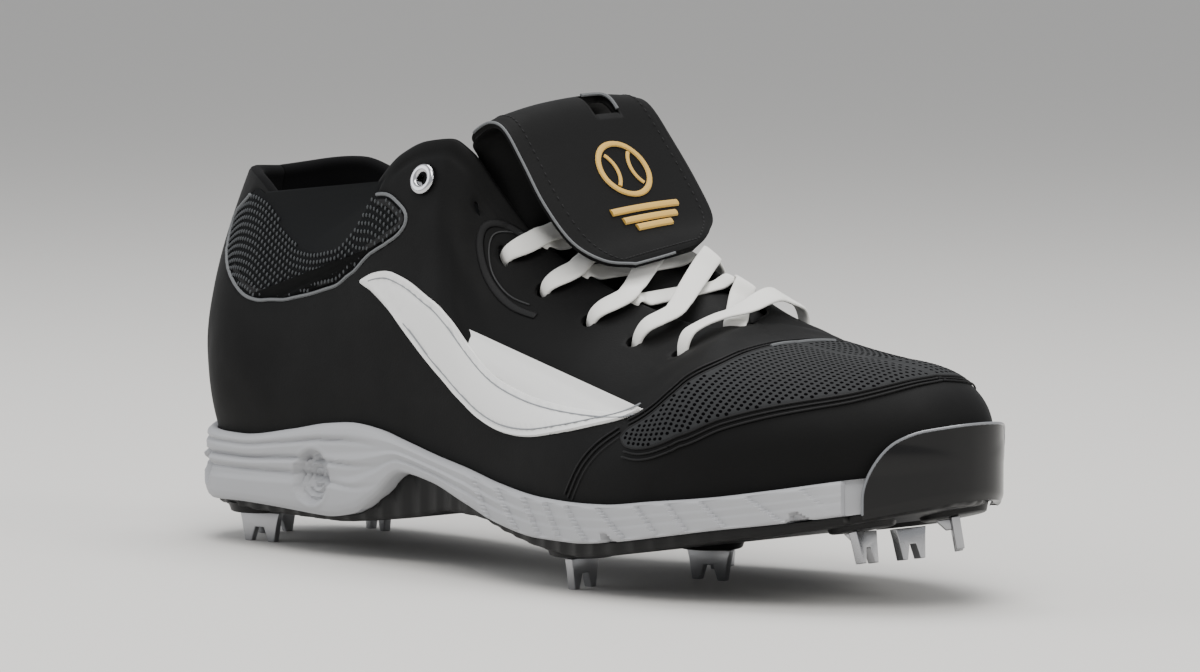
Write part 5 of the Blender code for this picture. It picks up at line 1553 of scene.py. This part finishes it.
parts = []
section = np.linspace(0, 2 * np.pi, 14, endpoint=False)
lengths = []
for run in RUNS:
    line, lean, width = lace_run(*run)
    for _ in range(3):
        line[1:-1] = 0.25 * line[:-2] + 0.5 * line[1:-1] + 0.25 * line[2:]
    ahead = np.gradient(line, axis=0)
    lengths.append(float(np.linalg.norm(np.diff(line, axis=0), axis=1).sum()))
    ahead /= np.linalg.norm(ahead, axis=1, keepdims=True)
    wide = np.cross(lean, ahead)
    wide /= np.linalg.norm(wide, axis=1, keepdims=True)
    thick_way = np.cross(ahead, wide)
    flat_x = np.sign(np.cos(section)) * np.abs(np.cos(section)) ** 0.55
    flat_z = np.sign(np.sin(section)) * np.abs(np.sin(section)) ** 0.8
    ring = (line[:, None] + wide[:, None] * (0.5 * LACE_WIDTH * width[:, None, None] * flat_x[None, :, None])
            + thick_way[:, None] * (0.5 * LACE_THICKNESS * (1.5 - 0.5 * width)[:, None, None]
                                    * flat_z[None, :, None]))
    points = ring.reshape(-1, 3)
    count = len(section)
    faces = [tuple(f[::-1]) for f in grid_faces(len(line), count, closed=True)]
    faces.append(tuple(range(count)))
    faces.append(tuple(range((len(line) - 1) * count, len(line) * count))[::-1])
    parts.append((points, faces))
shape, every = joined(parts)
add_piece("laces_woven", shape, every, LACE, ("laces",), sharp=60)
print("lace runs", [round(1000 * v) for v in lengths], "mm, together", round(1000 * sum(lengths)), "mm")

# %% [markdown]
# ## Midsole
# Rings stacked up the side wall, with the flowing ribs of the heel, the slanted leaf-like ribs
# of the forefoot, round dimples with their rings and the small notches at the lower edge.

# %%
SIDE_RELIEF = ((0.00, 0.0000), (0.12, 0.0010), (0.34, 0.0014), (0.42, 0.0006), (0.60, 0.0015),
               (0.68, 0.0007), (0.88, 0.0010), (1.00, 0.0000))
GUARD_SHARE = 0.900
# How far the guard's recess starts before the guard, as a share of the half perimeter
GUARD_LEAD = 0.0125
HALF = 360
LEVELS = 46
DIMPLES = ((0.240, 0.42, 1.35), (0.052, 0.45, 0.85))
NOTCHES = (0.705, 0.893)


def around_shares(half):
    shares = np.linspace(0, 1, half + 1)
    side = np.concatenate([np.full(half + 1, -1), np.full(half - 1, 1)])
    return side, np.concatenate([shares, shares[::-1][1:-1]])


def outline_both(side, share):
    foot = np.zeros((len(share), 2))
    normal = np.zeros((len(share), 2))
    for value in (-1, 1):
        here = side == value
        foot[here], normal[here] = outline_at(value, share[here])
    return foot, normal


def sole_relief(foot, share, t):
    """Outward bulge of the midsole's side, for places along it and a height share t."""
    along = foot[:, 0] / LENGTH
    x = foot[:, 0]
    base = np.interp(t, *np.array(SIDE_RELIEF).T)
    full = 1 - np.clip((share - 0.45) / 0.2, 0, 0.8)
    bulge = base * full
    tall = wall_top(x) - midsole_bottom(x)
    z = t * tall
    heel = soft((0.36 - along) / 0.10)
    wave = 0.0012 * np.sin(2 * np.pi * along / 0.36)
    for level, deep in ((0.86, 0.00120), (0.66, 0.00135), (0.48, 0.00110)):
        centre = level * tall + wave * (1 - level) - 0.012 * soft((along - 0.20) / 0.16) * (1 - level)
        bulge -= heel * deep * np.exp(-((z - centre) / 0.0007) ** 2)
    fore = soft((along - 0.47) / 0.05) * soft((0.93 - along) / 0.04)
    slant = along * LENGTH + 0.9 * z
    pitch = 0.0115
    leaf = (slant / pitch + 0.15 * np.sin(along * 40)) % 1.0
    bulge += fore * (0.00120 * leaf - 0.00070) * soft(t / 0.12) * soft((1 - t) / 0.10)
    bulge -= 0.0006 * soft((0.05 - t) / 0.05)
    bulge -= 0.0006 * soft((t - 0.955) / 0.045)
    for at, up, size in DIMPLES:
        radius = DIMPLE_RADIUS * size
        away = np.hypot(x - at * LENGTH, z - up * tall)
        bowl = np.clip(1 - (away / radius) ** 2, 0, 1)
        rings = 0.00055 * np.cos(2 * np.pi * away / (0.24 * radius)) * soft((radius - away) / 0.001)
        bulge += -0.0030 * size * np.sqrt(bowl) * soft((radius - away) / 0.0008) + rings
        bulge += 0.0003 * np.exp(-((away - 1.08 * radius) / 0.0005) ** 2)
    for at in NOTCHES:
        reach = 0.0034 - z
        wide = np.where(x < at * LENGTH, 0.45, 1.25) * np.maximum(reach, 0)
        inside = np.clip((wide - np.abs(x - at * LENGTH)) / 0.0006, 0, 1)
        bulge -= 0.0030 * soft(inside)
    return bulge


side, share = around_shares(HALF)
foot, normal = outline_both(side, share)
room = np.where(share > GUARD_SHARE - GUARD_LEAD, GUARD_WALL + GAP, 0.0)
rings = []
for t in np.linspace(0, 1, LEVELS + 1):
    bulge = np.where(room > 0, 0.0, sole_relief(foot, share, np.full(len(share), t)))
    place = foot + normal * (bulge - room)[:, None]
    x = foot[:, 0] - normal[:, 0] * room
    z = midsole_bottom(x) + t * (wall_top(x) - midsole_bottom(x))
    rings.append(np.column_stack([place, z]))
for inset, height in ((LIP * 0.5, 0.0), (LIP, 0.0), (LIP, None)):
    place = foot - normal * inset
    top = wall_top(place[:, 0])
    if inset < LIP:
        top = top + 0.0003
    rings.append(np.column_stack([place, floor(place[:, 0]) if height is None else top]))
points = np.vstack(rings)
count = len(share)
faces = [tuple(f) for f in grid_faces(len(rings), count, closed=True)]


def cap(points, faces, start, half, height, flip, splits=12):
    """Fill a closed ring with strips from its lateral to its medial side."""
    count = 2 * half
    extra = []
    total = len(points)
    rows = [[start]]
    for i in range(1, half):
        a, b = start + i, start + count - i
        row = [a]
        for j in range(1, splits):
            t = j / splits
            place = points[a] * (1 - t) + points[b] * t
            extra.append((place[0], place[1], float(height(place[0]))))
            row.append(total + len(extra) - 1)
        row.append(b)
        rows.append(row)
    rows.append([start + half])
    made = []
    for low, high in zip(rows, rows[1:]):
        if len(low) == 1:
            made += [(low[0], high[k + 1], high[k]) for k in range(splits)]
        elif len(high) == 1:
            made += [(low[k], low[k + 1], high[0]) for k in range(splits)]
        else:
            made += [(low[k], low[k + 1], high[k + 1], high[k]) for k in range(splits)]
    faces += [f[::-1] for f in made] if flip else made
    return np.vstack([points, np.array(extra)])


points = cap(points, faces, 0, HALF, midsole_bottom, False)
points = cap(points, faces, (len(rings) - 1) * count, HALF, floor, True)
add_piece("midsole_foam", points, faces, FOAM, ("midsole",), sharp=50)

# %% [markdown]
# ## Outsole plate
# The plate's edge has a soft bevel and small blocks along its rim, and a round boss with a
# bevelled edge carries each spike.

# %%
def plate_ring(half, extra, height):
    side, share = around_shares(half)
    foot, normal = outline_both(side, share)
    waist = np.exp(-((foot[:, 0] / LENGTH - 0.42) / 0.09) ** 2)
    guard = np.where(share > GUARD_SHARE - GUARD_LEAD, GUARD_WALL + GAP, 0.0)
    blocks = 0.0005 * (np.sin(share * 2 * np.pi * 46) > 0.2)
    place = foot - normal * (PLATE_INSET + 0.0035 * waist + guard + extra - blocks)[:, None]
    return np.column_stack([place, height(place[:, 0])])


PLATE_HALF = 240
rings = [plate_ring(PLATE_HALF, 0.0022, plate_bottom),
         plate_ring(PLATE_HALF, 0.0010, lambda x: plate_bottom(x) + 0.0002),
         plate_ring(PLATE_HALF, 0.0002, lambda x: plate_bottom(x) + 0.0008),
         plate_ring(PLATE_HALF, 0.0000, lambda x: plate_bottom(x) + 0.0016),
         plate_ring(PLATE_HALF, 0.0000, lambda x: midsole_bottom(x) - 0.0002)]
points = np.vstack(rings)
faces = [tuple(f) for f in grid_faces(len(rings), 2 * PLATE_HALF, closed=True)]
points = cap(points, faces, 0, PLATE_HALF, plate_bottom, False, 8)
points = cap(points, faces, 4 * 2 * PLATE_HALF, PLATE_HALF, lambda x: midsole_bottom(x) - 0.0002, True, 8)
parts = [(points, faces)]


def spike_seat(along, across):
    x = along * LENGTH
    slope = float(plate_bottom(x + 0.006) - plate_bottom(x - 0.006)) / 0.012
    slope = 0.0 if along < 0.7 else slope
    lowest = CLEARANCE - BOSS_HEIGHT if along < 0.7 else float(plate_bottom(x)) - BOSS_HEIGHT
    return Vector((x, across * BALL_WIDTH, lowest)), Matrix.Rotation(-math.atan(slope), 4, "Y")


def lathe(profile, frame, turns=40, closed=False):
    """Points and faces of a profile of (radius, height) turned about the frame's Z."""
    angle = 2 * np.pi * np.arange(turns) / turns
    local = np.array([[(r * math.cos(a), r * math.sin(a), h) for a in angle] for r, h in profile])
    matrix = np.array(frame)
    points = local.reshape(-1, 3) @ matrix[:3, :3].T + matrix[:3, 3]
    faces = [tuple(f) for f in grid_faces(len(profile), turns, closed=True)]
    if closed:
        last = (len(profile) - 1) * turns
        faces += [(last + k, last + (k + 1) % turns, (k + 1) % turns, k) for k in range(turns)]
    else:
        faces.append(tuple(range(turns))[::-1])
        faces.append(tuple(range((len(profile) - 1) * turns, len(profile) * turns)))
    return points, faces


for name, along, across, turn in SPIKES:
    place, tilt = spike_seat(along, across)
    frame_here = Matrix.Translation(place) @ tilt
    profile = ((0.0035, 0.0), (BOSS_RADIUS - 0.0008, 0.0), (BOSS_RADIUS - 0.0002, 0.0003),
               (BOSS_RADIUS, 0.0009), (BOSS_RADIUS + 0.0008, 0.0030))
    parts.append(lathe(profile, frame_here))
shape, every = joined(parts)
add_piece("outsole_plate", shape, every, PLATE, ("outsole",), sharp=40)

# %% [markdown]
# ## Toe guard, spikes, grommets and insole

# %%
steps = 70
levels = 26
# Height of the guard at its rear, radius of its rear corner, and metres per unit of share there
GUARD_REAR = 0.0135
GUARD_CORNER = 0.0095
SHARE_LENGTH = 0.340
shares = GUARD_SHARE + 0.003 + (0.997 - GUARD_SHARE) * np.linspace(0, 1, steps) ** 1.5
columns_of = [(-1, s) for s in shares] + [(1, s) for s in shares[::-1][1:]]
sheet_points, sheet_normals = [], []
for side, share in columns_of:
    foot, normal = outline_at(side, share)
    x = foot[0]
    arch = math.sin(0.5 * math.pi * min(1, (share - GUARD_SHARE) / 0.060 + 0.10))
    low = float(plate_bottom(x)) + 0.0002
    high = float(plate_bottom(x)) + GUARD_REAR + (GUARD_HEIGHT - GUARD_REAR) * arch
    short = max(0.0, GUARD_CORNER - (share - shares[0]) * SHARE_LENGTH)
    high -= GUARD_CORNER - math.sqrt(GUARD_CORNER ** 2 - short ** 2)
    z = np.linspace(low, high, levels + 1)
    v = np.linspace(0, 0.8, 200)
    wall = upper_point(side, np.full(200, share), v)
    at = np.array([np.interp(z, wall[:, 2], wall[:, k]) for k in (0, 1)]).T
    reach = (at - foot) @ normal + 2 * GAP
    blend = soft((z - float(wall_top(x)) + 0.0010) / 0.0020)
    reach = -GUARD_WALL * (1 - blend) + np.maximum(reach, -GUARD_WALL) * blend
    reach = reach - 0.0007 * soft((low + 0.0022 - z) / 0.0022)
    sheet_points.append(np.column_stack([foot + normal * (reach + 0.5 * GUARD_WALL)[:, None], z]))
    sheet_normals.append(np.tile([normal[0], normal[1], 0.0], (levels + 1, 1)))
grid = np.array(sheet_points)
lean = np.array(sheet_normals)
trim = grid[:, -1] + lean[:, -1] * 0.5 * GUARD_WALL
quads = grid_faces(len(columns_of), levels + 1)
half_wall = np.full(grid[..., 0].size, 0.5 * GUARD_WALL)
shape, every = thicken(grid.reshape(-1, 3), lean.reshape(-1, 3), quads.tolist(), half_wall, half_wall,
                       0.0004, steps=4)
add_piece("toe_guard_shell", shape, every, GLOSS, ("toe_guard",), sharp=60)
rear = grid[0] + lean[0] * 0.5 * GUARD_WALL
edge = np.vstack([rear[6:-1], trim, (grid[-1] + lean[-1] * 0.5 * GUARD_WALL)[::-1][1:-6]])
up = np.vstack([lean[0][6:-1], lean[:, -1], lean[-1][::-1][1:-6]])
line = evenly(np.hstack([edge, up]), 0.0010)
shape, every = tube(line[:, :3], line[:, 3:], 0.00040)
add_piece("toe_guard_rim", shape, every, GUARD_LINE)


def bevelled_copy(node, name, width, segments, material):
    """A bevelled stand-in built from a CAD node's own shape."""
    shaped = bmesh.new()
    shaped.from_mesh(frame["nodes"][node].data)
    bmesh.ops.remove_doubles(shaped, verts=shaped.verts, dist=1e-5)
    bmesh.ops.dissolve_limit(shaped, angle_limit=math.radians(1.0), verts=shaped.verts, edges=shaped.edges)
    sharp = [e for e in shaped.edges if e.is_manifold and e.calc_face_angle() > math.radians(20)]
    bmesh.ops.bevel(shaped, geom=sharp, offset=width, segments=segments, profile=0.6, affect="EDGES",
                    clamp_overlap=True)
    bmesh.ops.recalc_face_normals(shaped, faces=shaped.faces)
    mesh = bpy.data.meshes.new(name)
    shaped.to_mesh(mesh)
    shaped.free()
    mesh.shade_smooth()
    mesh.set_sharp_from_angle(angle=math.radians(50))
    mesh.materials.append(material)
    made = bpy.data.objects.new(name, mesh)
    bpy.context.scene.collection.objects.link(made)
    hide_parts(node)
    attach(made, "root")


for row in SPIKES:
    bevelled_copy(row[0], row[0] + "_forged", 0.00028, 2, STEEL)
print("spikes", len(SPIKES))

for side, node in ((-1, "grommet_lateral"), (1, "grommet_medial")):
    _, share, below, radius = EYELETS[5]
    share, v = hole_centre(side, share, below)
    place, normal = wall_frame(side, share, v)
    angle = 2 * np.pi * np.arange(16) / 16
    flange = radius + GROMMET_FLANGE
    offsets = flange * np.stack([np.cos(angle), np.sin(angle)], -1)
    s, w = from_flat(side, np.full(16, share), np.full(16, v), offsets)
    seat = max(((upper_point(side, s, w) - place) @ normal).max(), 0) + 2 * GAP
    frame_here = Vector(normal).to_track_quat("Z", "Y").to_matrix().to_4x4()
    frame_here.translation = Vector(place)
    inner = GROMMET_BORE
    profile = [(inner, -0.0013), (inner, seat)]
    for k in range(9):
        a = math.pi * k / 8
        mid, half_width = 0.5 * (inner + flange), 0.5 * (flange - inner)
        profile.append((mid - half_width * math.cos(a), seat + 0.0009 * math.sin(a) + 0.0001))
    profile += [(flange, seat), (radius - 3 * GAP, seat), (radius - 3 * GAP, -0.0013)]
    points, faces = lathe(profile, frame_here, 48, closed=True)
    add_piece(node + "_rolled", points, [f[::-1] for f in faces], PLATED, (node,), sharp=60)

insole = frame["nodes"]["insole"]
insole.data.materials.clear()
insole.data.materials.append(BOARD)

# %% [markdown]
# ## Floor, sizes and finish

# %%
bpy.ops.mesh.primitive_plane_add(size=30, location=(0, 0, 0))
floor_plane = bpy.context.object
floor_plane.name = "floor"
floor_plane.data.materials.append(FLOOR)
floor_plane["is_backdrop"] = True
low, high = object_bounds()
print("shown size mm", [round((b - a) * 1000, 1) for a, b in zip(low, high)])
